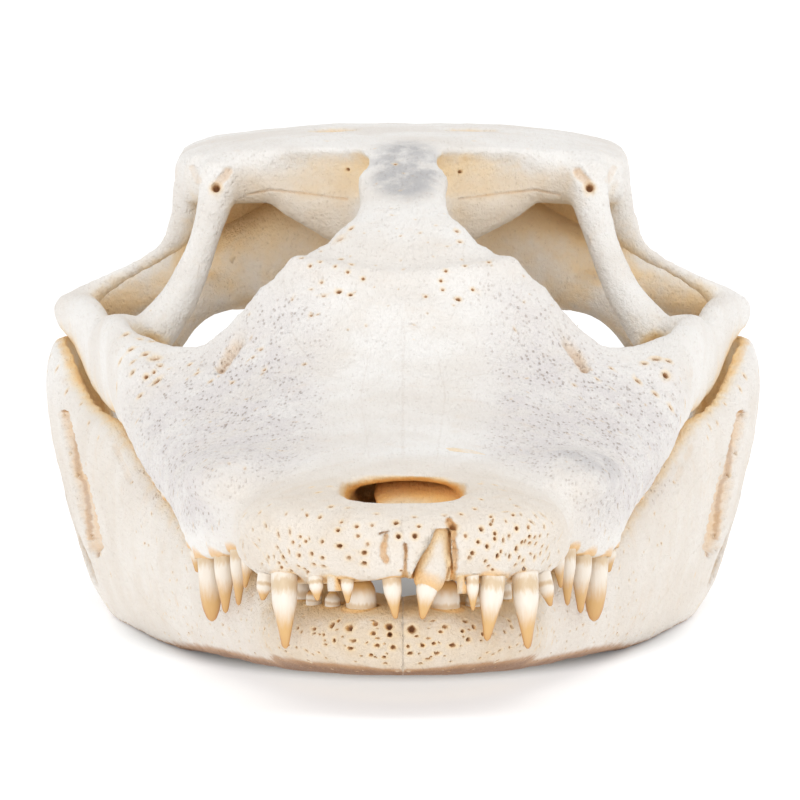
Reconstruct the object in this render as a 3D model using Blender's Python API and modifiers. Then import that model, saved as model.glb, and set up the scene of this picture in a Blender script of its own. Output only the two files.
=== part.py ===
"""Skull of a young spectacled caiman: one cranium, two lower jaw rami, and the teeth in their sockets.

The snout points to -Y, +Z is up, and the lower jaw rests on the plane Z = 0. The names left and right are the
animal's own: left is +X. Shapes are written in millimetres, with Y counted back from the tip of the snout,
and MM turns them into Blender's metres. At the end an empty carries the whole skull over the origin.
"""

import math

import bmesh
import bpy
import numpy as np
from mathutils import Matrix, Vector

MM = 0.001

# Gaps between the bones and round the tooth roots, and the depth of a root, in millimetres.
SYMPHYSIS_GAP = 0.3
SOCKET_GAP = 0.3
JOINT_GAP = 0.5
ROOT_DEPTH = 3.0

# The forms are fused on a voxel grid, and this share of its faces is kept as flat facets.
VOXEL = 1.1
CRANIUM_KEPT = 0.029
RAMUS_KEPT = 0.026

# Radius from which a tooth is made with more sides.
LARGE_TOOTH = 1.2
LARGE_TOOTH_SIDES = 7
SMALL_TOOTH_SIDES = 5


def clear_scene():
    for old in list(bpy.data.objects):
        bpy.data.objects.remove(old, do_unlink=True)


def new_collection(name):
    made = bpy.data.collections.new(name)
    bpy.context.scene.collection.children.link(made)
    return made


def new_material(name, colour, roughness):
    material = bpy.data.materials.new(name)
    material.use_nodes = True
    shader = material.node_tree.nodes["Principled BSDF"]
    shader.inputs["Base Color"].default_value = (*colour, 1.0)
    shader.inputs["Roughness"].default_value = roughness
    shader.inputs["Metallic"].default_value = 0.0
    material.diffuse_color = (*colour, 1.0)
    return material


def smooth_through(keys, values, at):
    """A curve through (keys, values) that never overshoots them, read at the given places."""
    keys = np.asarray(keys, float)
    values = np.asarray(values, float)
    at = np.asarray(at, float)
    span = np.diff(keys)
    slope = np.diff(values) / span
    before, after = slope[:-1], slope[1:]
    total = np.where(before + after == 0, 1.0, before + after)
    middle = np.where(before * after > 0, 2 * before * after / total, 0.0)
    rate = np.concatenate([slope[:1], middle, slope[-1:]])
    i = np.clip(np.searchsorted(keys, at) - 1, 0, len(span) - 1)
    t = (at - keys[i]) / span[i]
    start, end = values[i], values[i + 1]
    pull = span[i] * (rate[i] * t * (1 - t) ** 2 - rate[i + 1] * t**2 * (1 - t))
    return start + (end - start) * t * t * (3 - 2 * t) + pull


def lofted(rings):
    """One closed solid through rings of equal length, both ends capped."""
    solid = bmesh.new()
    rows = [[solid.verts.new(Vector(point) * MM) for point in ring] for ring in rings]
    for near, far in zip(rows, rows[1:]):
        for i in range(len(near)):
            j = (i + 1) % len(near)
            solid.faces.new((near[i], near[j], far[j], far[i]))
    solid.faces.new(rows[0][::-1])
    solid.faces.new(rows[-1])
    bmesh.ops.recalc_face_normals(solid, faces=solid.faces)
    return solid


def swept(axis, sections, corner=2.6, step=2.0, sides=24):
    """A bone bar or plate through rounded sections: place, across, up, half across, half up and tilt."""
    table = np.array([section + (0.0,) * (6 - len(section)) for section in sections])
    places = table[:, 0]
    count = max(3, round(abs(places[-1] - places[0]) / step) + 1)
    at = np.linspace(places[0], places[-1], count)
    sign = 1.0 if places[-1] > places[0] else -1.0
    columns = [smooth_through(sign * places, table[:, k], sign * at) for k in range(1, 6)]
    rings = []
    for place, across, up, half_across, half_up, tilt in zip(at, *columns):
        ring = []
        for k in range(sides):
            angle = 2 * math.pi * k / sides
            a = half_across * math.copysign(abs(math.cos(angle)) ** (2 / corner), math.cos(angle))
            b = half_up * math.copysign(abs(math.sin(angle)) ** (2 / corner), math.sin(angle))
            turn = math.radians(tilt)
            u = across + a * math.cos(turn) - b * math.sin(turn)
            v = up + a * math.sin(turn) + b * math.cos(turn)
            ring.append({"X": (place, u, v), "Y": (u, place, v), "Z": (u, v, place)}[axis])
        rings.append(ring)
    return lofted(rings)


def bar(points, radii, step=1.5, sides=14, flat=1.0):
    """A round or oval strut through points, with a radius at each."""
    points = np.array(points, float)
    run = np.concatenate([[0], np.cumsum(np.linalg.norm(np.diff(points, axis=0), axis=1))])
    at = np.linspace(0, run[-1], max(3, round(run[-1] / step) + 1))
    route = np.stack([smooth_through(run, points[:, k], at) for k in range(3)], axis=1)
    radius = smooth_through(run, radii, at)
    rings = []
    for i in range(len(at)):
        ahead = Vector(route[min(i + 1, len(at) - 1)] - route[max(i - 1, 0)]).normalized()
        side = ahead.cross(Vector((0, 1, 0))).normalized()
        other = ahead.cross(side)
        ring = []
        for k in range(sides):
            angle = 2 * math.pi * k / sides
            out = side * math.cos(angle) * radius[i] + other * math.sin(angle) * radius[i] * flat
            ring.append(Vector(route[i]) + out)
        rings.append(ring)
    return lofted(rings)


def ball(centre, radii):
    """A smooth boss or hollow: a sphere stretched to three radii."""
    solid = bmesh.new()
    bmesh.ops.create_icosphere(solid, subdivisions=3, radius=1.0)
    bmesh.ops.scale(solid, vec=Vector(radii) * MM, verts=solid.verts)
    bmesh.ops.translate(solid, vec=Vector(centre) * MM, verts=solid.verts)
    return solid


def block(low, high):
    """A plain box between two corners."""
    (x, y, z), (x2, y2, z2) = low, high
    return lofted([[(x, at, z), (x2, at, z), (x2, at, z2), (x, at, z2)] for at in (y, y2)])


def to_object(name, solids, collection, mirrored=False):
    """Joins solids in one object. Mirrored ones are repeated across the middle plane."""
    whole = bmesh.new()
    for solid in solids:
        piece = bpy.data.meshes.new("piece")
        solid.to_mesh(piece)
        solid.free()
        whole.from_mesh(piece)
        bpy.data.meshes.remove(piece)
    mesh = bpy.data.meshes.new(name)
    whole.to_mesh(mesh)
    whole.free()
    made = bpy.data.objects.new(name, mesh)
    collection.objects.link(made)
    if mirrored:
        mirror = made.modifiers.new("Mirror", "MIRROR")
        mirror.use_mirror_merge = False
    return made


def as_cutter(made):
    made.hide_render = True
    made.display_type = "WIRE"
    return made


def baked(made):
    """The evaluated mesh of an object as a new bmesh. The object is removed."""
    graph = bpy.context.evaluated_depsgraph_get()
    mesh = bpy.data.meshes.new_from_object(made.evaluated_get(graph))
    solid = bmesh.new()
    solid.from_mesh(mesh)
    bpy.data.meshes.remove(mesh)
    bpy.data.objects.remove(made, do_unlink=True)
    return solid


def cut(made, cutter, crossing=False):
    """Cuts one object from another. Crossing is for a cutter whose own solids run through each other."""
    boolean = made.modifiers.new(f"Cut {cutter.name}", "BOOLEAN")
    boolean.operation = "DIFFERENCE"
    boolean.object = cutter
    boolean.solver = "EXACT"
    boolean.use_self = crossing


def fused(made, rounds):
    """Fuses the overlapping forms into one skin on a voxel grid and softens the steps of the grid."""
    grid = made.modifiers.new("Fuse", "REMESH")
    grid.mode = "VOXEL"
    grid.voxel_size = VOXEL * MM
    grid.use_smooth_shade = True
    soften = made.modifiers.new("Soften", "SMOOTH")
    soften.factor = 0.5
    soften.iterations = rounds


def settled(made, collection, material, sign=1):
    """The same object with its modifiers applied. A sign of -1 turns it to the other side."""
    name = made.name
    solid = baked(made)
    if sign < 0:
        bmesh.ops.scale(solid, vec=(-1, 1, 1), verts=solid.verts)
        bmesh.ops.reverse_faces(solid, faces=solid.faces)
    plain = to_object(name, [solid], collection)
    plain.data.materials.clear()
    plain.data.materials.append(material)
    return plain


def thinned(made, kept):
    thin = made.modifiers.new("Thin out", "DECIMATE")
    thin.ratio = kept
    thin.use_collapse_triangulate = True


# Face: the closed box of the snout, from the tip of the premaxillae to under the eyes. Each station gives
# its place from the tip, half width, five heights of the roof from the midline to the flank, the tooth line
# and the palate.
FACE_STATIONS = (
    (0.4, 5.0, 25.4, 25.4, 24.9, 24.0, 22.6, 20.4, 20.4),
    (2.0, 11.0, 27.2, 27.2, 26.5, 24.8, 22.2, 19.3, 19.4),
    (5.0, 15.8, 28.4, 28.4, 27.6, 25.4, 21.8, 18.5, 19.4),
    (10.0, 20.2, 29.3, 29.5, 28.6, 26.0, 21.4, 17.6, 21.6),
    (16.0, 22.6, 30.2, 30.4, 29.2, 26.2, 21.2, 17.2, 22.6),
    (22.0, 23.2, 31.0, 31.0, 29.5, 26.4, 21.6, 18.0, 23.0),
    (28.0, 22.9, 31.8, 31.4, 29.6, 27.0, 23.0, 20.0, 23.2),
    (34.0, 24.4, 32.8, 32.2, 30.3, 27.5, 23.6, 19.6, 23.4),
    (40.0, 27.6, 33.6, 32.8, 31.0, 28.2, 24.0, 18.2, 23.6),
    (48.0, 30.6, 34.8, 33.8, 32.0, 29.2, 24.8, 17.2, 24.0),
    (56.0, 32.0, 36.4, 35.2, 33.0, 30.0, 25.6, 18.6, 24.6),
    (66.0, 34.0, 39.3, 37.8, 34.6, 31.4, 27.0, 21.4, 25.6),
    (76.0, 36.8, 43.5, 41.6, 36.8, 33.0, 29.4, 23.8, 27.0),
    (84.0, 39.0, 48.6, 46.6, 39.6, 35.2, 31.6, 26.2, 28.6),
    (92.0, 40.8, 54.5, 54.0, 42.0, 39.0, 34.8, 28.8, 30.4),
    (98.0, 41.9, 58.6, 57.6, 43.6, 42.0, 37.0, 30.2, 31.8),
    (106.0, 43.4, 61.0, 59.4, 44.6, 44.0, 39.0, 31.4, 33.2),
)


PREMAXILLA_LENGTH = 30.0


def face_block():
    table = np.array(FACE_STATIONS)
    at = np.linspace(table[0, 0], table[-1, 0], 60)
    half, *rest = (smooth_through(table[:, 0], table[:, k], at) for k in range(1, 9))
    roof = np.stack(rest[:5])
    tooth_line, palate = rest[5:]
    rings = []
    for i, place in enumerate(at):
        w, low, vault = half[i], tooth_line[i], palate[i]
        turns = np.linspace(0, math.pi / 2, 13)
        heights = smooth_through(np.linspace(0, math.pi / 2, 5), roof[:, i], turns)
        right = [(w * math.sin(t), z) for t, z in zip(turns, heights)]
        s = min(1.0, w / 14)
        flank = roof[4, i]
        front = max(0.0, 1 - place / PREMAXILLA_LENGTH)
        tuck = 1.0 + 1.6 * front
        lean = 2.2 * s * math.sqrt(front)
        right += [
            (w - 0.3 * s * tuck - 0.5 * lean, (flank + low) / 2 + 0.4),
            (w - 1.2 * s * tuck - lean, low + 0.7),
            (w - 2.6 * s * tuck - lean, low),
            (w - 4.4 * s * tuck - 0.8 * lean, low + 0.3 * s),
            (w - 6.0 * s * tuck - 0.5 * lean, low + 0.55 * (vault - low)),
            (w - 7.6 * s * tuck - 0.3 * lean, vault - 0.4),
            ((w - 8.0 * s * tuck) / 2, vault),
        ]
        left = [(-x, z) for x, z in right[:0:-1]]
        rings.append([(x, place, z) for x, z in right + [(0.0, vault)] + left])
    return lofted(rings)


# The jaw joint: sections of the quadrate's condyle along X. The bed in the lower jaw is a gap wider.
CONDYLE_SECTIONS = (
    (32.0, 168.0, 44.8, 2.4, 2.4),
    (34.5, 168.2, 44.4, 3.9, 3.8),
    (40.5, 168.2, 44.4, 3.6, 3.3),
    (46.5, 167.8, 43.8, 4.0, 3.8),
    (50.0, 167.6, 43.8, 2.4, 2.4),
)


def orbit_cutter(cutters):
    orbit = swept(
        "Z",
        (
            (24.0, 20.0, 109.0, 10.5, 14.0),
            (40.0, 22.0, 111.5, 14.0, 15.5),
            (46.0, 22.6, 112.5, 16.0, 17.2),
            (60.0, 23.2, 113.0, 17.0, 18.6),
            (82.0, 23.4, 113.0, 17.4, 19.0),
        ),
        corner=2.2,
    )
    under_eye = swept(
        "Z",
        (
            (14.0, 18.0, 106.0, 9.0, 25.0),
            (38.0, 18.0, 107.0, 8.0, 23.0),
            (46.0, 19.0, 109.0, 7.0, 16.0),
        ),
        corner=2.3,
    )
    return as_cutter(to_object("orbits", [orbit, under_eye], cutters, mirrored=True))


def late_cutters(cutters):
    """Openings that go through several forms at once, cut after the forms are one skin."""
    temple = ball((10.4, 151.0, 70.0), (4.0, 5.2, 7.0))
    brow_hollow = ball((17.0, 126.4, 65.8), (13.0, 6.4, 4.0))
    ear = swept(
        "Y",
        (
            (146.0, 38.0, 61.0, 4.0, 1.2),
            (152.0, 37.0, 61.6, 5.4, 3.0),
            (160.0, 36.6, 62.0, 6.2, 3.2),
            (168.0, 36.6, 62.4, 6.0, 2.6),
            (174.0, 36.6, 62.6, 6.0, 2.0),
        ),
    )
    nostril = swept(
        "Y",
        (
            (8.4, 0.0, 32.8, 5.6, 3.2),
            (10.5, 0.0, 31.2, 7.8, 4.1),
            (15.0, 0.0, 30.3, 8.8, 4.2),
            (20.0, 0.0, 30.0, 8.6, 3.8),
            (25.0, 0.0, 29.0, 7.6, 2.8),
            (38.0, 0.0, 28.2, 6.0, 2.0),
        ),
        corner=2.4,
    )
    nostril_funnel = ball((0.0, 16.0, 34.6), (14.0, 9.5, 6.4))
    foramen = ball((0.0, 172.0, 58.6), (5.4, 16.0, 4.6))
    choana = ball((0.0, 148.0, 24.6), (4.2, 4.8, 4.6))
    incisive = ball((0.0, 19.0, 21.2), (2.8, 4.4, 2.2))
    return [
        as_cutter(to_object("temple_and_ear", [temple, ear, brow_hollow], cutters, mirrored=True)),
        as_cutter(to_object("midline_openings", [nostril, foramen, choana, incisive], cutters)),
        as_cutter(to_object("nostril_funnel", [nostril_funnel], cutters)),
    ]


def cranium_forms():
    """Every form of the right or middle of the cranium behind and round the face."""
    forms = []
    # Jugal and quadratojugal bar under the eye, back to the jaw joint.
    forms.append(
        swept(
            "Y",
            (
                (92.0, 36.0, 36.0, 4.0, 4.5, -8.0),
                (100.0, 38.6, 37.2, 3.6, 5.8, -8.0),
                (108.0, 40.6, 38.6, 2.9, 6.9, -8.0),
                (116.0, 42.2, 39.0, 2.6, 7.5, -4.0),
                (121.0, 43.1, 38.8, 2.6, 6.9, -4.0),
                (126.0, 44.2, 38.6, 2.6, 5.9, -5.0),
                (132.0, 45.6, 40.2, 2.6, 6.0, -6.0),
                (142.0, 47.6, 42.6, 2.6, 4.8, -8.0),
                (152.0, 50.0, 44.0, 2.9, 2.9, -10.0),
                (162.0, 50.2, 43.4, 2.7, 2.5, -10.0),
                (168.0, 48.4, 43.8, 2.0, 2.2, -12.0),
            ),
        )
    )
    # Frontal bar between the eyes, widening back into the skull table.
    forms.append(
        swept(
            "Y",
            (
                (84.0, 0.0, 46.0, 9.0, 3.0),
                (94.0, 0.0, 54.2, 12.0, 3.0),
                (100.0, 0.0, 57.8, 10.6, 2.8),
                (106.0, 0.0, 60.4, 7.4, 2.6),
                (112.0, 0.0, 62.8, 6.5, 2.4),
                (120.0, 0.0, 65.6, 6.8, 2.6),
                (127.0, 0.0, 68.2, 8.6, 2.8),
                (136.0, 0.0, 68.8, 12.0, 3.0),
            ),
            corner=3.0,
        )
    )
    # Half of the skull table, with its arched top and its raised front and side rims.
    forms.append(
        swept(
            "X",
            (
                (-0.5, 153.0, 69.0, 22.0, 2.9),
                (10.0, 154.0, 69.0, 21.6, 2.8),
                (20.0, 155.2, 68.4, 21.6, 2.7),
                (28.0, 156.4, 67.3, 20.8, 2.7),
                (32.5, 157.2, 66.4, 19.2, 2.4),
                (34.3, 158.0, 66.0, 16.0, 1.5),
            ),
            corner=4.0,
        )
    )
    # Front wall of the table: the back edge of the eye socket.
    forms.append(
        swept(
            "X",
            (
                (4.0, 130.8, 66.4, 3.4, 4.2),
                (12.0, 132.0, 66.2, 3.2, 4.3),
                (21.0, 134.0, 65.8, 3.0, 4.2),
                (28.0, 136.0, 65.4, 3.0, 4.0),
                (33.0, 139.0, 65.0, 2.8, 3.6),
            ),
        )
    )
    # Bar behind the eye, from the corner of the table down to the jugal.
    forms.append(
        bar(
            (
                (27.0, 134.0, 67.0),
                (28.2, 131.0, 61.5),
                (30.0, 128.4, 55.5),
                (33.0, 125.2, 48.6),
                (38.0, 121.0, 42.0),
            ),
            (3.6, 2.7, 2.3, 2.7, 3.6),
        )
    )
    # Braincase under the table.
    forms.append(
        swept(
            "Y",
            (
                (119.0, 0.0, 62.0, 3.6, 5.0),
                (126.0, 0.0, 59.0, 7.0, 9.0),
                (134.0, 0.0, 57.0, 11.0, 12.0),
                (144.0, 0.0, 57.0, 14.0, 13.0),
                (156.0, 0.0, 57.0, 15.0, 13.0),
                (166.0, 0.0, 58.0, 13.5, 12.0),
            ),
        )
    )
    # Side wall from the table down to the quadrate.
    forms.append(
        swept(
            "Z",
            (
                (50.0, 34.6, 160.0, 2.6, 6.0),
                (56.0, 33.6, 159.0, 2.4, 8.5),
                (60.0, 32.8, 157.0, 2.2, 11.0),
                (64.0, 32.2, 155.0, 2.2, 14.0),
                (68.0, 31.6, 154.0, 2.2, 17.0),
            ),
            corner=3.0,
        )
    )
    # Rim of the cheek window, from the corner of the table down to the jaw joint.
    forms.append(
        bar(
            (
                (31.6, 142.0, 64.0),
                (31.9, 142.6, 60.6),
                (33.4, 143.4, 56.8),
                (36.6, 144.6, 53.4),
                (40.6, 146.0, 51.0),
                (44.8, 147.6, 48.6),
                (48.6, 149.6, 46.0),
            ),
            (3.0, 3.0, 2.2, 1.3, 1.2, 1.5, 2.2),
        )
    )
    # Wall that closes the cheek window behind its rim, and its lower lip under the eye.
    forms.append(
        swept(
            "X",
            (
                (33.0, 156.0, 54.5, 2.4, 5.0),
                (38.0, 156.0, 49.4, 2.2, 3.4),
                (43.0, 157.0, 47.2, 2.2, 3.0),
                (47.0, 158.0, 45.4, 2.2, 2.8),
            ),
        )
    )
    forms.append(
        bar(
            ((36.0, 141.0, 39.6), (35.2, 141.5, 41.8), (33.2, 142.5, 44.4), (29.6, 144.0, 46.8), (25.0, 146.0, 47.8)),
            (2.4, 3.0, 3.0, 3.0, 3.0),
        )
    )
    # Knob of the jugal on the edge of the eye socket.
    forms.append(ball((40.8, 118.6, 43.8), (2.4, 3.0, 2.6)))
    # Quadrate: the thick plate from the braincase out and back to the jaw joint.
    forms.append(
        swept(
            "X",
            (
                (8.0, 150.0, 57.0, 12.0, 8.0),
                (16.0, 151.0, 54.6, 11.0, 8.4),
                (24.0, 153.0, 51.4, 10.0, 7.2),
                (31.0, 157.0, 49.6, 9.0, 5.4),
                (38.0, 160.0, 47.6, 8.2, 4.4),
                (45.0, 161.6, 45.3, 8.8, 3.6),
                (51.0, 162.0, 43.5, 8.6, 2.5),
            ),
        )
    )
    # Wall from the quadrate and braincase down to the pterygoid wing.
    forms.append(
        swept(
            "Z",
            (
                (25.0, 12.0, 145.0, 4.0, 7.0),
                (34.0, 13.5, 147.0, 3.2, 7.0),
                (42.0, 16.0, 148.5, 4.4, 7.5),
                (50.0, 18.0, 150.0, 6.0, 8.0),
            ),
        )
    )
    # Rolled condyle that meets the lower jaw, a little waisted in its middle.
    forms.append(swept("X", CONDYLE_SECTIONS, corner=2.1))
    # Plate at the back of the head, out to the paroccipital processes.
    forms.append(
        swept(
            "X",
            (
                (-0.5, 165.0, 60.0, 4.0, 10.0),
                (10.0, 165.5, 60.0, 4.0, 9.6),
                (20.0, 167.5, 60.0, 3.6, 7.4),
                (28.0, 170.0, 59.4, 3.0, 5.6),
                (33.0, 172.0, 59.0, 2.2, 4.0),
            ),
            corner=3.0,
        )
    )
    forms.append(ball((0.0, 170.5, 50.6), (4.6, 4.4, 4.0)))
    # Basioccipital plate hanging under the condyle, and the stem down to the pterygoids.
    forms.append(
        swept(
            "Z",
            (
                (26.0, 0.0, 146.0, 5.0, 8.0),
                (34.0, 0.0, 150.0, 6.0, 8.0),
                (42.0, 0.0, 156.0, 9.0, 6.5),
                (50.0, 0.0, 160.0, 11.0, 7.0),
            ),
        )
    )
    # Palatine tube in the roof of the mouth.
    forms.append(
        swept(
            "Y",
            (
                (66.0, 0.0, 29.5, 11.0, 4.0),
                (80.0, 0.0, 30.6, 8.6, 3.8),
                (96.0, 0.0, 31.4, 7.2, 3.6),
                (110.0, 0.0, 31.0, 7.4, 3.4),
                (124.0, 0.0, 29.4, 11.0, 3.2),
                (136.0, 0.0, 28.0, 14.0, 2.8),
            ),
        )
    )
    # Pterygoid wing, sloping down and out to its thick rim.
    forms.append(
        swept(
            "X",
            (
                (-0.5, 137.0, 28.4, 19.0, 2.6),
                (8.0, 139.0, 27.6, 16.5, 2.3),
                (15.0, 141.0, 25.6, 12.6, 2.0),
                (22.0, 141.5, 22.6, 11.4, 2.1),
                (28.5, 140.5, 19.0, 9.5, 2.6),
                (31.5, 139.5, 17.2, 6.0, 1.8),
            ),
        )
    )
    # Ectopterygoid strut from the cheek to the pterygoid wing.
    forms.append(
        bar(
            ((38.5, 110.0, 35.4), (34.6, 117.0, 33.4), (30.0, 126.0, 28.0), (27.0, 136.0, 22.0)),
            (4.4, 3.8, 3.2, 2.6),
        )
    )
    # Raised rim of the spectacle: the ridge across the face in front of the eyes, and its two knobs.
    forms.append(
        bar(
            ((16.5, 95.0, 55.4), (9.0, 91.5, 54.0), (0.0, 90.0, 53.6), (-0.5, 90.0, 53.6)),
            (1.6, 1.9, 1.4, 1.4),
        )
    )
    forms.append(ball((8.4, 92.5, 52.6), (3.6, 3.4, 2.6)))
    # Swell over the root of the great tooth, and the lobe of the premaxilla.
    forms.append(ball((22.4, 49.0, 28.4), (8.8, 16.0, 4.6)))
    forms.append(ball((14.0, 14.0, 25.6), (8.6, 10.5, 4.2)))
    return forms


def make_cranium(collection, cutters, material):
    face = to_object("face", [face_block()], cutters)
    cut(face, orbit_cutter(cutters), crossing=True)
    cranium = to_object("cranium", [baked(face)] + cranium_forms(), collection, mirrored=True)
    cranium.data.materials.append(material)
    fused(cranium, 1)
    for cutter in late_cutters(cutters):
        cut(cranium, cutter)
    fused(cranium, 3)
    thinned(cranium, CRANIUM_KEPT)
    return settled(cranium, collection, material)


# Each station of the lower jaw: place, middle across, middle up, half thickness, half height and lean.
RAMUS_SECTIONS = (
    (3.6, -2.0, 10.6, 6.0, 2.4),
    (5.0, -1.0, 10.4, 9.0, 3.9),
    (8.0, 0.5, 10.2, 12.0, 4.6),
    (13.0, 3.5, 10.0, 13.6, 5.0),
    (19.0, 6.0, 9.8, 13.2, 5.4),
    (24.0, 9.0, 9.8, 10.8, 5.8),
    (30.0, 13.6, 9.9, 7.0, 6.4),
    (36.0, 16.2, 10.0, 5.6, 6.8, -2.0),
    (41.0, 18.2, 9.8, 5.1, 7.0, -3.0),
    (47.0, 20.2, 9.6, 4.8, 7.1, -4.0),
    (54.0, 22.8, 9.8, 4.6, 7.6, -5.0),
    (62.0, 25.4, 10.3, 4.6, 8.6, -6.0),
    (70.0, 27.8, 10.9, 4.6, 9.8, -8.0),
    (78.0, 30.2, 11.7, 4.6, 11.3, -9.0),
    (86.0, 32.6, 12.6, 4.7, 12.9, -10.0),
    (94.0, 35.0, 13.8, 4.9, 14.4, -10.0),
    (102.0, 37.2, 14.5, 4.8, 15.3, -9.0),
    (110.0, 39.4, 15.2, 4.8, 16.0, -9.5),
    (120.0, 42.2, 15.7, 4.8, 16.6, -10.0),
    (130.0, 44.8, 17.0, 4.8, 18.0, -12.0),
    (140.0, 46.8, 19.8, 4.7, 19.8, -13.0),
    (150.0, 47.6, 21.6, 4.8, 19.2, -12.0),
    (158.0, 47.8, 23.8, 5.0, 16.4, -8.0),
    (166.0, 45.6, 27.0, 6.2, 13.4, -6.0),
    (172.0, 44.6, 28.0, 6.8, 12.4, -4.0),
    (179.0, 44.4, 28.6, 6.2, 9.8),
    (187.0, 44.6, 30.2, 5.4, 8.0),
    (195.0, 44.8, 32.6, 4.4, 6.4),
    (201.0, 44.8, 34.8, 3.2, 4.8),
    (204.0, 44.6, 36.0, 1.8, 2.6),
)


def ramus_cutters(cutters):
    chamber = swept(
        "Y",
        (
            (110.0, 39.2, 24.0, 1.2, 7.0),
            (118.0, 41.4, 28.0, 2.3, 16.0),
            (130.0, 44.4, 30.0, 2.8, 20.0),
            (142.0, 46.2, 32.0, 2.8, 20.0),
            (152.0, 47.4, 34.0, 2.3, 14.0),
            (157.0, 47.6, 34.0, 1.3, 8.0),
        ),
        corner=3.0,
    )
    inner_door = swept(
        "Y",
        (
            (116.0, 38.0, 32.0, 4.5, 4.0, -7.0),
            (130.0, 41.4, 36.0, 6.0, 12.0, -9.0),
            (140.0, 43.4, 37.2, 6.2, 12.8, -9.0),
            (148.0, 44.2, 38.2, 6.4, 13.0, -9.0),
            (156.0, 43.4, 40.0, 6.0, 8.0, -7.0),
        ),
    )
    window = swept(
        "Y",
        (
            (125.0, 48.4, 6.8, 6.0, 2.0),
            (131.0, 50.0, 9.4, 6.6, 4.2),
            (140.0, 52.0, 14.4, 7.0, 5.2),
            (149.0, 53.8, 20.4, 7.0, 4.2),
            (156.0, 54.8, 25.0, 6.4, 2.0),
        ),
    )
    grown = [(x, y, z, deep + JOINT_GAP, high + JOINT_GAP) for x, y, z, deep, high in CONDYLE_SECTIONS]
    grown = [(30.5, *grown[0][1:])] + grown + [(51.5, *grown[-1][1:])]
    condyle_bed = [swept("X", grown, corner=2.1)]
    half_gap = SYMPHYSIS_GAP / 2
    other_side = block((-60.0, -5.0, -20.0), (half_gap, 60.0, 40.0))
    bench = block((-30.0, -5.0, -20.0), (90.0, 215.0, 0.0))
    named = {
        "jaw_chamber": [chamber],
        "jaw_inner_door": [inner_door],
        "jaw_window": [window],
        "condyle_bed": condyle_bed,
        "symphysis_plane": [other_side],
        "resting_plane": [bench],
    }
    return [as_cutter(to_object(name, solids, cutters)) for name, solids in named.items()]


def make_rami(collection, cutters, material):
    """The left ramus, and the right one as its mirror image."""
    rough = to_object("ramus", [swept("Y", RAMUS_SECTIONS, corner=2.4)], cutters)
    hollows = ramus_cutters(cutters)
    for cutter in hollows[:4]:
        cut(rough, cutter, crossing=True)
    fused(rough, 3)
    thinned(rough, RAMUS_KEPT)
    for cutter in hollows[4:]:
        cut(rough, cutter)
    solid = baked(rough)
    rami = []
    for sign, name in ((1, "mandible_left"), (-1, "mandible_right")):
        ramus = to_object(name, [solid.copy()], collection)
        rami.append(settled(ramus, collection, material, sign))
    solid.free()
    return rami


# Premaxillary teeth by side: number, root, tip and radius. Two of the right ones are new crowns just showing.
PREMAXILLARY_TEETH = {
    "right": (
        (1, (1.7, 3.8, 20.6), (1.0, 2.4, 13.8), 1.3),
        (2, (7.6, 4.4, 20.0), (7.5, 3.4, 15.8), 0.9),
        (3, (12.0, 6.2, 20.0), (11.6, 5.0, 16.0), 1.0),
        (4, (16.2, 9.0, 20.0), (16.0, 7.0, 9.2), 1.8),
        (5, (18.6, 13.6, 20.0), (19.2, 12.6, 15.2), 1.1),
    ),
    "left": (
        (1, (4.1, 4.4, 24.0), (2.5, 2.0, 13.6), 1.5),
        (2, (9.4, 4.8, 20.6), (9.5, 3.6, 14.8), 0.9),
        (3, (12.4, 6.2, 20.6), (11.4, 4.2, 10.6), 1.7),
        (4, (16.6, 9.2, 20.0), (17.0, 7.0, 9.2), 1.8),
        (5, (18.8, 13.8, 20.0), (20.2, 12.6, 14.4), 1.1),
    ),
}
# Front maxillary teeth, alike on both sides. The fourth is the great tooth.
MAXILLARY_TEETH = (
    (1, (21.0, 31.4, 23.0), (21.9, 30.2, 15.0), 1.0),
    (2, (22.8, 36.2, 22.4), (22.9, 35.2, 12.0), 1.25),
    (3, (25.0, 41.2, 21.6), (24.8, 40.0, 10.4), 1.5),
    (4, (27.4, 47.4, 21.0), (26.8, 45.6, 8.6), 1.9),
    (5, (28.6, 53.4, 21.4), (29.0, 52.4, 14.8), 1.3),
)
REAR_MAXILLARY_FROM_TO = (59.0, 104.0)
REAR_MAXILLARY_COUNT = 9
REAR_CROWN = 1.3
# Front dentary teeth: number, place from the tip, height above the bone and radius.
DENTARY_TEETH = (
    (1, 9.5, 4.0, 2.1),
    (2, 12.5, 2.8, 1.2),
    (3, 15.5, 2.0, 1.2),
    (4, 21.0, 4.0, 1.6),
    (5, 28.0, 2.6, 1.1),
    (6, 34.0, 2.4, 1.1),
    (7, 40.0, 2.4, 1.1),
    (8, 46.0, 2.4, 1.1),
    (9, 52.0, 2.4, 1.1),
)
DENTARY_FRONT_ACROSS = {1: 5.7, 2: 9.6, 3: 12.2, 4: 13.4}


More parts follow.
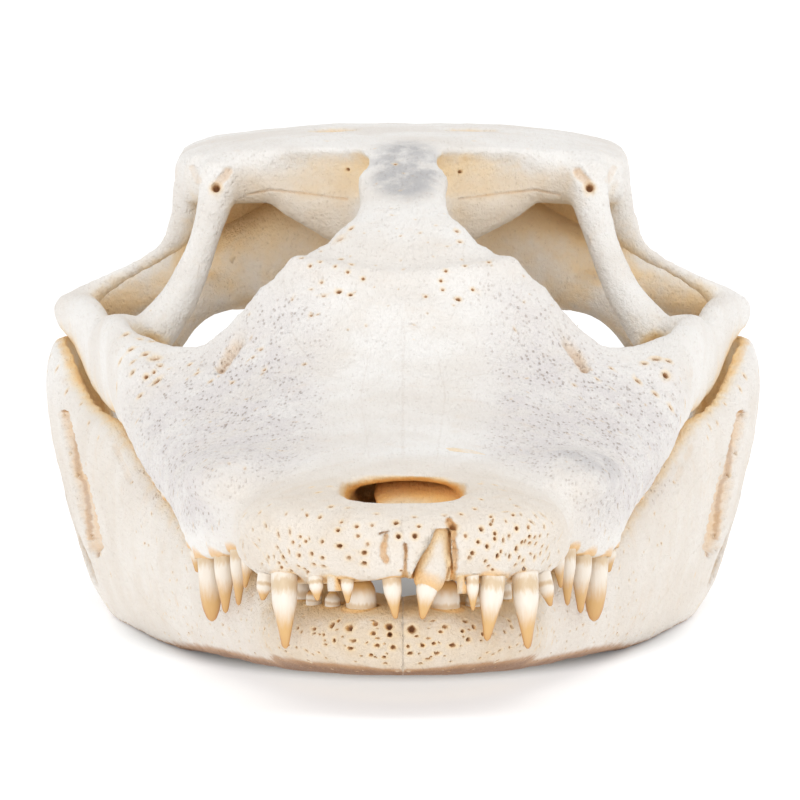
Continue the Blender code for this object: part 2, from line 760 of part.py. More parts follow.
def tooth_shape(root, tip, radius, sign, grow=0.0):
    """A slim cone from root to tip with a slight curve back, grown by a gap where it is a socket."""
    large = radius > LARGE_TOOTH
    sides = LARGE_TOOTH_SIDES if large else SMALL_TOOTH_SIDES
    root, tip = Vector(root), Vector(tip)
    root.x *= sign
    tip.x *= sign
    along = tip - root
    bow = Vector((0.0, -0.07 * along.length, 0.0))
    shares = (0.0, 0.35, 0.62, 0.85, 1.0) if large else (0.0, 0.4, 0.8, 1.0)
    widths = (0.86, 1.0, 0.8, 0.46, 0.14) if large else (0.86, 1.0, 0.6, 0.2)
    points = [root + along * t + bow * math.sin(math.pi * t) for t in shares]
    if grow:
        points[0] = points[0] - along.normalized() * grow
        points[-1] = points[-1] + along.normalized() * grow
    rings = []
    ahead = along.normalized()
    side = ahead.cross(Vector((0, 1, 0))).normalized()
    other = ahead.cross(side)
    turns = [2 * math.pi * k / sides for k in range(sides)]
    for point, width in zip(points, widths):
        reach = radius * width + grow
        rings.append([point + (side * math.cos(turn) + other * math.sin(turn)) * reach for turn in turns])
    return lofted(rings)


def station_value(table, column, place):
    table = np.array([row + (0.0,) * (6 - len(row)) for row in table])
    return float(smooth_through(table[:, 0], table[:, column], [place])[0])


def ramus_top(place):
    """Middle across and height of the upper edge of the left ramus."""
    across, up, half_up, lean = (station_value(RAMUS_SECTIONS, k, place) for k in (1, 2, 4, 5))
    turn = math.radians(lean)
    return across - half_up * math.sin(turn), up + half_up * math.cos(turn)


def upper_teeth():
    """(name, root, tip, radius, sign) of every tooth of the cranium."""
    found = []
    for side, sign in (("left", 1), ("right", -1)):
        for number, root, tip, radius in PREMAXILLARY_TEETH[side]:
            found.append((f"tooth_premaxilla_{side}_{number}", root, tip, radius, sign))
        for number, root, tip, radius in MAXILLARY_TEETH:
            found.append((f"tooth_maxilla_{side}_{number}", root, tip, radius, sign))
        places = np.linspace(*REAR_MAXILLARY_FROM_TO, REAR_MAXILLARY_COUNT)
        for i, place in enumerate(places):
            face = np.array(FACE_STATIONS)
            half = float(smooth_through(face[:, 0], face[:, 1], [place])[0])
            low = float(smooth_through(face[:, 0], face[:, 7], [place])[0])
            root = (half - 3.2, place, low + ROOT_DEPTH)
            tip = (half - 3.2, place - 0.3, low - REAR_CROWN)
            found.append((f"tooth_maxilla_{side}_{6 + i}", root, tip, 1.15, sign))
    return found


def lower_teeth():
    found = []
    for side, sign in (("left", 1), ("right", -1)):
        for number, place, crown, radius in DENTARY_TEETH:
            across, top = ramus_top(place)
            across = DENTARY_FRONT_ACROSS.get(number, across)
            root = (across, place, top - ROOT_DEPTH)
            tip = (across, place - 0.4, top + crown)
            found.append((f"tooth_dentary_{side}_{number}", root, tip, radius, sign))
    return found


def make_teeth(teeth, jaws, collection, cutters, material):
    """Makes every tooth, and cuts its socket, a gap wider all round, in the bone that holds it."""
    sockets = {jaw.name: [] for jaw in jaws}
    made = []
    for name, root, tip, radius, sign in teeth:
        tooth = to_object(name, [tooth_shape(root, tip, radius, sign)], collection)
        tooth.data.materials.append(material)
        holder = jaws[0] if len(jaws) == 1 or sign > 0 else jaws[1]
        sockets[holder.name].append(tooth_shape(root, tip, radius, sign, grow=SOCKET_GAP))
        made.append((tooth, holder, (sign * root[0], *root[1:])))
    for jaw in jaws:
        cut(jaw, as_cutter(to_object(f"sockets_{jaw.name}", sockets[jaw.name], cutters)))
    return made


# The widest pits of the bone, seen from the front on the left side: across, height and radius.
FACE_PITS = (
    (36.6, 40.2, 1.3),
    (39.9, 41.4, 0.9),
    (36.4, 36.2, 1.0),
    (40.0, 38.0, 0.8),
    (25.0, 42.7, 1.5),
    (5.6, 25.6, 0.8),
    (8.8, 23.2, 0.8),
    (12.6, 25.0, 0.8),
    (15.6, 22.4, 0.8),
)
CHIN_PITS = (
    (5.4, 10.2, 0.8),
    (8.4, 12.4, 0.8),
    (11.4, 9.6, 0.8),
)
PIT_SIDES = 6
PIT_FLOOR = 0.35
PIT_MOUTH = 1.25
PIT_LENGTH = 2.4


def cut_pits(bone, pits, signs, cutters):
    """Cuts pits square into a bone, where lines straight back from the front meet its skin."""
    skin = bone.evaluated_get(bpy.context.evaluated_depsgraph_get())
    dimples = []
    for across, up, radius in pits:
        for sign in signs:
            start = Vector((sign * across, -20.0, up)) * MM
            hit, place, normal, _ = skin.ray_cast(start, Vector((0.0, 1.0, 0.0)))
            if not hit:
                continue
            dimple = bmesh.new()
            floor, mouth, length = (share * radius * MM for share in (PIT_FLOOR, PIT_MOUTH, PIT_LENGTH))
            bmesh.ops.create_cone(
                dimple, cap_ends=True, segments=PIT_SIDES, radius1=floor, radius2=mouth, depth=length
            )
            turn = normal.to_track_quat("Z", "Y").to_matrix()
            bmesh.ops.rotate(dimple, matrix=turn, verts=dimple.verts)
            bmesh.ops.translate(dimple, vec=place, verts=dimple.verts)
            dimples.append(dimple)
    cut(bone, as_cutter(to_object(f"pits_{bone.name}", dimples, cutters)))


def set_origin(made, place, parent):
    """Moves an object's own origin to a place in millimetres, leaves its shape there, and parents it."""
    origin = Vector(place) * MM
    made.data.transform(Matrix.Translation(-origin))
    made.parent = parent
    made.location = origin
    if parent.type == "MESH":
        made.location = origin - parent.location


def carried(bones, teeth, collection, cutters):
    """Hangs the teeth on their bones and the bones on an empty, which stands the skull over the origin."""
    skull = bpy.data.objects.new("skull", None)
    collection.objects.link(skull)
    for bone, place in bones:
        set_origin(bone, place, skull)
    for tooth, holder, root in teeth:
        set_origin(tooth, root, holder)
    for cutter in cutters.objects:
        cutter.parent = skull
    bpy.context.view_layer.update()
    solids = [bone for bone, _ in bones] + [tooth for tooth, _, _ in teeth]
    reach = [(solid.matrix_world @ Vector(corner)).y for solid in solids for corner in solid.bound_box]
    skull.location.y = -(min(reach) + max(reach)) / 2


def build():
    clear_scene()
    collection = new_collection("caiman_skull")
    cutters = new_collection("cutters")
    bone = new_material("bone", (0.87, 0.83, 0.77), 0.55)
    enamel = new_material("enamel", (0.80, 0.62, 0.36), 0.30)
    cranium = make_cranium(collection, cutters, bone)
    rami = make_rami(collection, cutters, bone)
    cut_pits(cranium, FACE_PITS, (1, -1), cutters)
    cut_pits(rami[0], CHIN_PITS, (1,), cutters)
    cut_pits(rami[1], CHIN_PITS, (-1,), cutters)
    teeth = make_teeth(upper_teeth(), [cranium], collection, cutters, enamel)
    teeth += make_teeth(lower_teeth(), rami, collection, cutters, enamel)
    joint_across, joint_back, joint_up = CONDYLE_SECTIONS[2][:3]
    bones = [
        (cranium, (0.0, joint_back, joint_up)),
        (rami[0], (joint_across, joint_back, joint_up)),
        (rami[1], (-joint_across, joint_back, joint_up)),
    ]
    carried(bones, teeth, collection, cutters)


build()
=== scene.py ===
# %% [markdown]
# # A spectacled caiman skull
#
# A young caiman's skull rests on its closed lower jaw and looks straight at us. It is dry bone: cream and
# chalky, with brown pits where vessels and nerves came through, and amber teeth. The tan inside its
# hollows is painted shade and warm bounce light.
# The imported model gives the frame: every piece made here stays where its solid is. The bones are
# modelled again on a finer grid, so that pits, seams and worn edges have real depth.

import math

import bmesh
import bpy
import numpy as np
from mathutils import Matrix, Vector
from mathutils.bvhtree import BVHTree
from mathutils.kdtree import KDTree


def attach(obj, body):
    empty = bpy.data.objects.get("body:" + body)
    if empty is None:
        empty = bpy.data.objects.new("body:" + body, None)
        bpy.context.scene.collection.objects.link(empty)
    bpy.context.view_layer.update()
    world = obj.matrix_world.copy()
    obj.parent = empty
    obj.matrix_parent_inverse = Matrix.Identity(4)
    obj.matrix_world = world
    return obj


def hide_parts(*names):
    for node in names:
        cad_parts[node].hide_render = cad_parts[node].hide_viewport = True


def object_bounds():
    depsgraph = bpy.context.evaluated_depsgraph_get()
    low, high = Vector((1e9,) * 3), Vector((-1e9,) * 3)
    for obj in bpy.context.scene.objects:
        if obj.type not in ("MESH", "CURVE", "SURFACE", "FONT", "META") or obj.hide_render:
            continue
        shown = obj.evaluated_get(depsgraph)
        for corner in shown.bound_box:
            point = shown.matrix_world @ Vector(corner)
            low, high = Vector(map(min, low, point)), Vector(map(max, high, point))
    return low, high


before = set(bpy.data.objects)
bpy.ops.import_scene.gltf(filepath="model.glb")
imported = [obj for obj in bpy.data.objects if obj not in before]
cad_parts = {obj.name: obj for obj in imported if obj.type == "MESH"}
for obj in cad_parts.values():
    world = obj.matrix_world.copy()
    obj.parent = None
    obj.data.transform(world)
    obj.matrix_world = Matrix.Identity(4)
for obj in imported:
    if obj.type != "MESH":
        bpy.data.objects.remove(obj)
cad_box = [list(corner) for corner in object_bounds()]
print("nodes:", len(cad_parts), "box in mm:", [[round(v * 1000, 1) for v in c] for c in cad_box])

# %% [markdown]
# ## Lengths
#
# Bone sizes are read most easily in millimetres, with Y counted back from the tip of the snout. Blender
# wants metres and the frame has its origin in the middle of the skull, so two values do the change.

# %% Lengths and origin
MM = 0.001
SNOUT_LEAD = 0.46
SNOUT_TIP = Vector((0.0, cad_box[0][1] - SNOUT_LEAD * MM, 0.0))
print("snout tip at", [round(v * 1000, 2) for v in SNOUT_TIP])

# %% [markdown]
# ## The photograph's camera
#
# The photograph was taken from straight ahead, a little above the skull, with a long lens: the far skull
# table is hardly smaller than the near teeth. A long lens far away does the same here. Two small
# functions turn a pixel of the photograph into a ray, and a place on the skull into its pixel. That is
# how details find their place on the bone.

# %% Camera
PHOTO_SIZE = 800
PHOTO_FOCAL = 8924.0
PHOTO_MIDDLE = 403.0
CAMERA_DISTANCE = 1200.0
CAMERA_HEIGHT = 148.8
LOOKS_DOWN = 0.0875
SENSOR = 36.0

lens = bpy.data.cameras.new("camera")
lens.sensor_width = SENSOR
lens.lens = PHOTO_FOCAL / PHOTO_SIZE * SENSOR
lens.shift_x = (PHOTO_SIZE / 2 - PHOTO_MIDDLE) / PHOTO_SIZE
camera = bpy.data.objects.new("camera", lens)
EYE = Vector((0.0, -CAMERA_DISTANCE, CAMERA_HEIGHT)) * MM
camera.location = SNOUT_TIP + EYE
camera.rotation_euler = (math.pi / 2 - math.atan(LOOKS_DOWN), 0.0, 0.0)
bpy.context.scene.collection.objects.link(camera)
bpy.context.scene.camera = camera


def photo_ray(u, v):
    """The line of sight through a pixel of the photograph, with Y from the tip of the snout."""
    across = (u - PHOTO_MIDDLE) / PHOTO_FOCAL
    drop = (v - PHOTO_SIZE / 2) / PHOTO_FOCAL + LOOKS_DOWN
    return Vector((across, 1.0, -drop)).normalized()


def in_photo(places):
    """Pixel (u, v) of each place, given in millimetres from the tip of the snout."""
    x, y, z = places.T
    away = CAMERA_DISTANCE + y
    u = PHOTO_MIDDLE + PHOTO_FOCAL * x / away
    v = PHOTO_SIZE / 2 + PHOTO_FOCAL * ((CAMERA_HEIGHT - z) / away - LOOKS_DOWN)
    return np.stack([u, v], axis=1)


print("lens", round(lens.lens), "mm")

# %% [markdown]
# ## Shader sums
#
# A finish is a chain of nodes. Written out one by one they are hard to read, so a socket is wrapped in a
# small class that understands plus, minus and times. The material class has one method that
# makes any other node from its type, its settings and its inputs.

# %% Shader values
class Value:
    """A socket of a finish that takes part in sums."""

    def __init__(self, finish, socket):
        self.finish = finish
        self.socket = socket

    def sum_node(self, operation, first, second):
        return self.finish.node("ShaderNodeMath", {"operation": operation}, {0: first, 1: second})

    def __add__(self, other):
        return self.sum_node("ADD", self, other)

    __radd__ = __add__

    def __sub__(self, other):
        return self.sum_node("SUBTRACT", self, other)

    def __rsub__(self, other):
        return self.sum_node("SUBTRACT", other, self)

    def __mul__(self, other):
        return self.sum_node("MULTIPLY", self, other)

    __rmul__ = __mul__

    def __abs__(self):
        return self.sum_node("ABSOLUTE", self, 0.0)

    def fade(self, start, end):
        """0 where the value is at start, 1 where it is at end, smooth in between."""
        settings = {"interpolation_type": "SMOOTHSTEP"}
        inputs = {"Value": self, "From Min": start, "From Max": end}
        return self.finish.node("ShaderNodeMapRange", settings, inputs)

# %% Finishes
class Finish:
    """A material with a Principled shader, and the nodes that feed it."""

    def __init__(self, name, **uniform):
        self.material = bpy.data.materials.new(name)
        self.material.use_nodes = True
        self.tree = self.material.node_tree
        self.shader = self.tree.nodes["Principled BSDF"]
        for label, value in uniform.items():
            self.shader.inputs[label.replace("_", " ")].default_value = value

    def node(self, kind, settings=None, inputs=None, output=0):
        """Makes a node of any kind, with its settings first and then the values or links of its sockets."""
        made = self.tree.nodes.new(kind)
        for label, value in (settings or {}).items():
            setattr(made, label, value)
        for label, value in (inputs or {}).items():
            self.feed(made.inputs[label], value)
        return Value(self, made.outputs[output])

    def feed(self, socket, value):
        if isinstance(value, Value):
            self.tree.links.new(value.socket, socket)
        elif isinstance(value, tuple) and len(value) == 3 and socket.type == "RGBA":
            socket.default_value = (*value, 1.0)
        else:
            socket.default_value = value

    def place(self):
        """Where a point is on the piece itself, in millimetres."""
        here = self.node("ShaderNodeTexCoord", output="Object")
        return self.node("ShaderNodeVectorMath", {"operation": "SCALE"}, {0: here, "Scale": 1 / MM})

    def noise(self, at, scale, detail=3.0, roughness=0.55):
        inputs = {"Vector": at, "Scale": scale, "Detail": detail, "Roughness": roughness}
        return self.node("ShaderNodeTexNoise", {}, inputs)

    def stretched(self, at, scale):
        return self.node("ShaderNodeVectorMath", {"operation": "MULTIPLY"}, {0: at, 1: scale})

    def attribute(self, name):
        return self.node("ShaderNodeAttribute", {"attribute_name": name}, output="Fac")

    def mix(self, mask, first, second):
        """The first colour where the mask is 0 and the second where it is 1."""
        made = self.node("ShaderNodeMix", {"data_type": "RGBA"}, {0: mask})
        mixer = made.socket.node
        self.feed(mixer.inputs[6], first)
        self.feed(mixer.inputs[7], second)
        return Value(self, mixer.outputs[2])

    def bump(self, height, distance, strength=1.0):
        return self.node("ShaderNodeBump", {}, {"Height": height, "Distance": distance, "Strength": strength})

    def finish(self, **fed):
        for label, value in fed.items():
            self.feed(self.shader.inputs[label.replace("_", " ")], value)
        return self.material


def from_srgb(red, green, blue):
    """A colour read off the screen in steps of 255, as the linear light that a shader wants."""
    return tuple(((c / 255 + 0.055) / 1.055) ** 2.4 for c in (red, green, blue))

# %% [markdown]
# ## Shapes of bone
#
# Bone is bars, plates and knobs that flow into each other. Each is drawn as a skin through a few rounded
# sections. The sections are joined by a curve that never overshoots, so a bar keeps the width it is
# given.

# %% Smooth curve through values
def smooth_through(keys, values, at):
    """A curve through (keys, values) that never overshoots them, read at the given places."""
    keys = np.asarray(keys, float)
    values = np.asarray(values, float)
    at = np.asarray(at, float)
    span = np.diff(keys)
    slope = np.diff(values) / span
    before, after = slope[:-1], slope[1:]
    total = np.where(before + after == 0, 1.0, before + after)
    middle = np.where(before * after > 0, 2 * before * after / total, 0.0)
    rate = np.concatenate([slope[:1], middle, slope[-1:]])
    i = np.clip(np.searchsorted(keys, at) - 1, 0, len(span) - 1)
    t = (at - keys[i]) / span[i]
    start, end = values[i], values[i + 1]
    pull = span[i] * (rate[i] * t * (1 - t) ** 2 - rate[i + 1] * t**2 * (1 - t))
    return start + (end - start) * t * t * (3 - 2 * t) + pull

# %% Skin through rings
def lofted(rings):
    """One closed solid through rings of equal length, both ends capped."""
    solid = bmesh.new()
    rows = [[solid.verts.new(Vector(point) * MM) for point in ring] for ring in rings]
    for near, far in zip(rows, rows[1:]):
        for i in range(len(near)):
            j = (i + 1) % len(near)
            solid.faces.new((near[i], near[j], far[j], far[i]))
    solid.faces.new(rows[0][::-1])
    solid.faces.new(rows[-1])
    bmesh.ops.recalc_face_normals(solid, faces=solid.faces)
    return solid

# %% Bars and plates
def swept(axis, sections, corner=2.6, step=1.2, sides=40):
    """A bone bar or plate through rounded sections: place, across, up, half across, half up and tilt."""
    table = np.array([section + (0.0,) * (6 - len(section)) for section in sections])
    places = table[:, 0]
    count = max(3, round(abs(places[-1] - places[0]) / step) + 1)
    at = np.linspace(places[0], places[-1], count)
    sign = 1.0 if places[-1] > places[0] else -1.0
    columns = [smooth_through(sign * places, table[:, k], sign * at) for k in range(1, 6)]
    rings = []
    for place, across, up, half_across, half_up, tilt in zip(at, *columns):
        ring = []
        for k in range(sides):
            angle = 2 * math.pi * k / sides
            a = half_across * math.copysign(abs(math.cos(angle)) ** (2 / corner), math.cos(angle))
            b = half_up * math.copysign(abs(math.sin(angle)) ** (2 / corner), math.sin(angle))
            turn = math.radians(tilt)
            u = across + a * math.cos(turn) - b * math.sin(turn)
            v = up + a * math.sin(turn) + b * math.cos(turn)
            ring.append({"X": (place, u, v), "Y": (u, place, v), "Z": (u, v, place)}[axis])
        rings.append(ring)
    return lofted(rings)

# %% Struts
def bar(points, radii, step=1.0, sides=24, flat=1.0):
    """A round or oval strut through points, with a radius at each."""
    points = np.array(points, float)
    run = np.concatenate([[0], np.cumsum(np.linalg.norm(np.diff(points, axis=0), axis=1))])
    at = np.linspace(0, run[-1], max(3, round(run[-1] / step) + 1))
    route = np.stack([smooth_through(run, points[:, k], at) for k in range(3)], axis=1)
    radius = smooth_through(run, radii, at)
    rings = []
    for i in range(len(at)):
        ahead = Vector(route[min(i + 1, len(at) - 1)] - route[max(i - 1, 0)]).normalized()
        side = ahead.cross(Vector((0, 1, 0))).normalized()
        other = ahead.cross(side)
        ring = []
        for k in range(sides):
            angle = 2 * math.pi * k / sides
            out = side * math.cos(angle) * radius[i] + other * math.sin(angle) * radius[i] * flat
            ring.append(Vector(route[i]) + out)
        rings.append(ring)
    return lofted(rings)

# %% Bosses and blocks
def ball(centre, radii):
    """A smooth boss or hollow: a sphere stretched to three radii."""
    solid = bmesh.new()
    bmesh.ops.create_icosphere(solid, subdivisions=3, radius=1.0)
    bmesh.ops.scale(solid, vec=Vector(radii) * MM, verts=solid.verts)
    bmesh.ops.translate(solid, vec=Vector(centre) * MM, verts=solid.verts)
    return solid


def block(low, high):
    """A plain box between two corners."""
    (x, y, z), (x2, y2, z2) = low, high
    return lofted([[(x, at, z), (x2, at, z), (x2, at, z2), (x, at, z2)] for at in (y, y2)])

# %% [markdown]
# ## From shapes to one skin
#
# The shapes overlap like lumps of clay. A voxel remesh melts them in one closed skin, cutters open the
# sockets, and a little smoothing takes the steps of the grid away. All of it is done with modifiers whose
# result is then kept as a plain mesh.

# %% Joining, cutting and melting
def joined(name, solids, mirrored=False):
    """One object of several solids. Mirrored ones are repeated across the middle plane."""
    whole = bmesh.new()
    for solid in solids:
        piece = bpy.data.meshes.new("piece")
        solid.to_mesh(piece)
        solid.free()
        whole.from_mesh(piece)
        bpy.data.meshes.remove(piece)
    mesh = bpy.data.meshes.new(name)
    whole.to_mesh(mesh)
    whole.free()
    made = bpy.data.objects.new(name, mesh)
    bpy.context.scene.collection.objects.link(made)
    if mirrored:
        mirror = made.modifiers.new("Mirror", "MIRROR")
        mirror.use_mirror_merge = False
    return made


def applied(made, keep=False):
    """The object's mesh with its modifiers applied, as a bmesh. The object goes unless it is kept."""
    graph = bpy.context.evaluated_depsgraph_get()
    mesh = bpy.data.meshes.new_from_object(made.evaluated_get(graph))
    solid = bmesh.new()
    solid.from_mesh(mesh)
    bpy.data.meshes.remove(mesh)
    if not keep:
        bpy.data.objects.remove(made, do_unlink=True)
    return solid


def cut(made, solids, mirrored=False, crossing=False):
    """Cuts solids out of an object for good."""
    cutter = joined("cutter", solids, mirrored)
    boolean = made.modifiers.new("Cut", "BOOLEAN")
    boolean.object = cutter
    boolean.solver = "EXACT"
    boolean.use_self = crossing
    name = made.name
    solid = applied(made)
    bpy.data.objects.remove(cutter, do_unlink=True)
    return joined(name, [solid])


def melted(made, voxel, rounds):
    """Melts the object's shapes in one skin, and smooths the steps of the grid."""
    grid = made.modifiers.new("Melt", "REMESH")
    grid.mode = "VOXEL"
    grid.voxel_size = voxel * MM
    soften = made.modifiers.new("Soften", "SMOOTH")
    soften.factor = 0.5
    soften.iterations = rounds
    return made


def uneven(made, size, depth):
    """Lets the skin swell and sink by a fraction of a millimetre, as grown bone does."""
    clouds = bpy.data.textures.new(f"clouds {size}", "CLOUDS")
    clouds.noise_scale = size * MM
    clouds.noise_depth = 1
    swell = made.modifiers.new(f"Swell {size}", "DISPLACE")
    swell.texture = clouds
    swell.texture_coords = "LOCAL"
    swell.strength = depth * MM
    swell.mid_level = 0.5


def thinned(made, triangles):
    """Keeps about this many triangles, most of them where the skin bends."""
    graph = bpy.context.evaluated_depsgraph_get()
    now = made.evaluated_get(graph).to_mesh()
    now.calc_loop_triangles()
    thin = made.modifiers.new("Thin out", "DECIMATE")
    thin.ratio = min(1.0, triangles / len(now.loop_triangles))
    made.evaluated_get(graph).to_mesh_clear()

# %% [markdown]
# ## The face
#
# The snout is a flat box that widens backwards: premaxillae with the nostril in front, maxillae with the
# teeth at the sides, and the slope up to the eyes. It is one loft with the arched roof, tooth line and
# palate given at stations back from the tip. Each row has the station, the half width, five heights of
# the roof from the middle to the side, the tooth line and the palate.

# %% Stations of the face
PREMAXILLA_LENGTH = 30.0
FACE_STATIONS = (
    (0.4, 5, 25.4, 25.4, 24.9, 24, 22.6, 20.4, 20.4), (2, 11, 27.2, 27.2, 26.5, 24.8, 22.2, 19.3, 19.4),
    (5, 15.8, 28.4, 28.4, 27.6, 25.4, 21.8, 18.5, 19.4), (10, 20.2, 29.3, 29.5, 28.6, 26, 21.4, 17.6, 21.6),
    (16, 22.6, 30.2, 30.4, 29.2, 26.2, 21.2, 17.2, 22.6), (22, 23.2, 31, 31, 29.5, 26.4, 21.6, 18, 23),
    (28, 22.9, 31.8, 31.4, 29.6, 27, 23, 20, 23.2), (34, 24.4, 32.8, 32.2, 30.3, 27.5, 23.6, 19.6, 23.4),
    (40, 27.6, 33.6, 32.8, 31, 28.2, 24, 18.2, 23.6), (48, 30.6, 34.8, 33.8, 32, 29.2, 24.8, 17.2, 24),
    (56, 32, 36.4, 35.2, 33, 30, 25.6, 18.6, 24.6), (66, 34, 39.3, 37.8, 34.6, 31.4, 27, 21.4, 25.6),
    (76, 36.8, 43.5, 41.6, 36.8, 33, 29.4, 23.8, 27), (84, 39, 48.6, 46.6, 39.6, 35.2, 31.6, 26.2, 28.6),
    (92, 40.8, 54.5, 54, 42, 39, 34.8, 28.8, 30.4), (98, 41.9, 58.6, 57.6, 43.6, 42, 37, 30.2, 31.8),
    (106, 43.4, 61, 59.4, 44.6, 44, 39, 31.4, 33.2),
)

# %% Face loft
def face_block():
    table = np.array(FACE_STATIONS)
    at = np.linspace(table[(0, 0)], table[(-1, 0)], 60)
    half, *rest = (smooth_through(table[:, 0], table[:, k], at) for k in range(1, 9))
    roof = np.stack(rest[:5])
    tooth_line, palate = rest[5:]
    rings = []
    for i, place in enumerate(at):
        w, low, vault = half[i], tooth_line[i], palate[i]
        turns = np.linspace(0, math.pi / 2, 13)
        heights = smooth_through(np.linspace(0, math.pi / 2, 5), roof[:, i], turns)
        right = [(w * math.sin(t), z) for t, z in zip(turns, heights)]
        s = min(1.0, w / 14)
        flank = roof[4, i]
        front = max(0.0, 1 - place / PREMAXILLA_LENGTH)
        tuck = 1.0 + 1.6 * front
        lean = 2.2 * s * math.sqrt(front)
        right += [
            (w - 0.3 * s * tuck - 0.5 * lean, (flank + low) / 2 + 0.4),
            (w - 1.2 * s * tuck - lean, low + 0.7),
            (w - 2.6 * s * tuck - lean, low),
            (w - 4.4 * s * tuck - 0.8 * lean, low + 0.3 * s),
            (w - 6.0 * s * tuck - 0.5 * lean, low + 0.55 * (vault - low)),
            (w - 7.6 * s * tuck - 0.3 * lean, vault - 0.4),
            ((w - 8.0 * s * tuck) / 2, vault),
        ]
        left = [(-x, z) for x, z in right[:0:-1]]
        rings.append([(x, place, z) for x, z in right + [(0.0, vault)] + left])
    return lofted(rings)

# %% [markdown]
# ## Openings
#
# The eye sockets go right through roof and palate. The nostril, the two small windows in the skull table,
# the ear groove under its rim and the hole for the spinal cord are cut once the forms are one skin.

# %% Jaw joint
CONDYLE_SECTIONS = (
    (32, 168, 44.8, 2.4, 2.4), (34.5, 168.2, 44.4, 3.9, 3.8), (40.5, 168.2, 44.4, 3.6, 3.3),
    (46.5, 167.8, 43.8, 4, 3.8), (50, 167.6, 43.8, 2.4, 2.4),
)

# %% Eye sockets
def orbit_openings():
    orbit = swept("Z", (
        (24, 20, 109, 10.5, 14), (40, 22, 111.5, 14, 15.5), (46, 22.6, 112.5, 16, 17.2),
        (60, 23.2, 113, 17, 18.6), (82, 23.4, 113, 17.4, 19),
    ), corner=2.2)
    under_eye = swept("Z", ((14, 18, 106, 9, 25), (38, 18, 107, 8, 23), (46, 19, 109, 7, 16)), corner=2.3)
    return [orbit, under_eye]

# %% Other openings
def late_openings():
    """Openings that go through several forms at once, cut after the forms are one skin."""
    temple = ball((10.4, 151, 70), (4, 5.2, 7))
    brow_hollow = ball((16.2, 124.8, 66.6), (12.6, 7.4, 5.4))
    ear = swept("Y", (
        (146, 38, 61, 4, 1.2), (152, 37, 61.6, 5.4, 3), (160, 36.6, 62, 6.2, 3.2),
        (168, 36.6, 62.4, 6, 2.6), (174, 36.6, 62.6, 6, 2),
    ))
    nostril = swept("Y", (
        (8.4, 0, 32.8, 5.6, 3.2), (10.5, 0, 31.2, 7.8, 4.1), (15, 0, 30.3, 8.8, 4.2),
        (20, 0, 29.6, 8.6, 3.4), (25, 0, 28, 7.6, 2.4), (38, 0, 28.2, 6, 2),
    ), corner=2.4)
    nostril_funnel = ball((0, 14.2, 34.6), (14, 8.4, 6.4))
    foramen = ball((0, 172, 58.6), (5.4, 16, 4.6))
    choana = ball((0, 148, 24.6), (4.2, 4.8, 4.6))
    incisive = ball((0, 19, 21.2), (2.8, 4.4, 2.2))
    return [temple, ear, brow_hollow], [nostril, foramen, choana, incisive], [nostril_funnel]

# %% [markdown]
# ## Forms behind the face
#
# Bars round the eyes, the skull table, the braincase, the quadrates down to the jaw joints and the wings
# of the palate. Half of them are drawn and the Mirror modifier makes the rest.

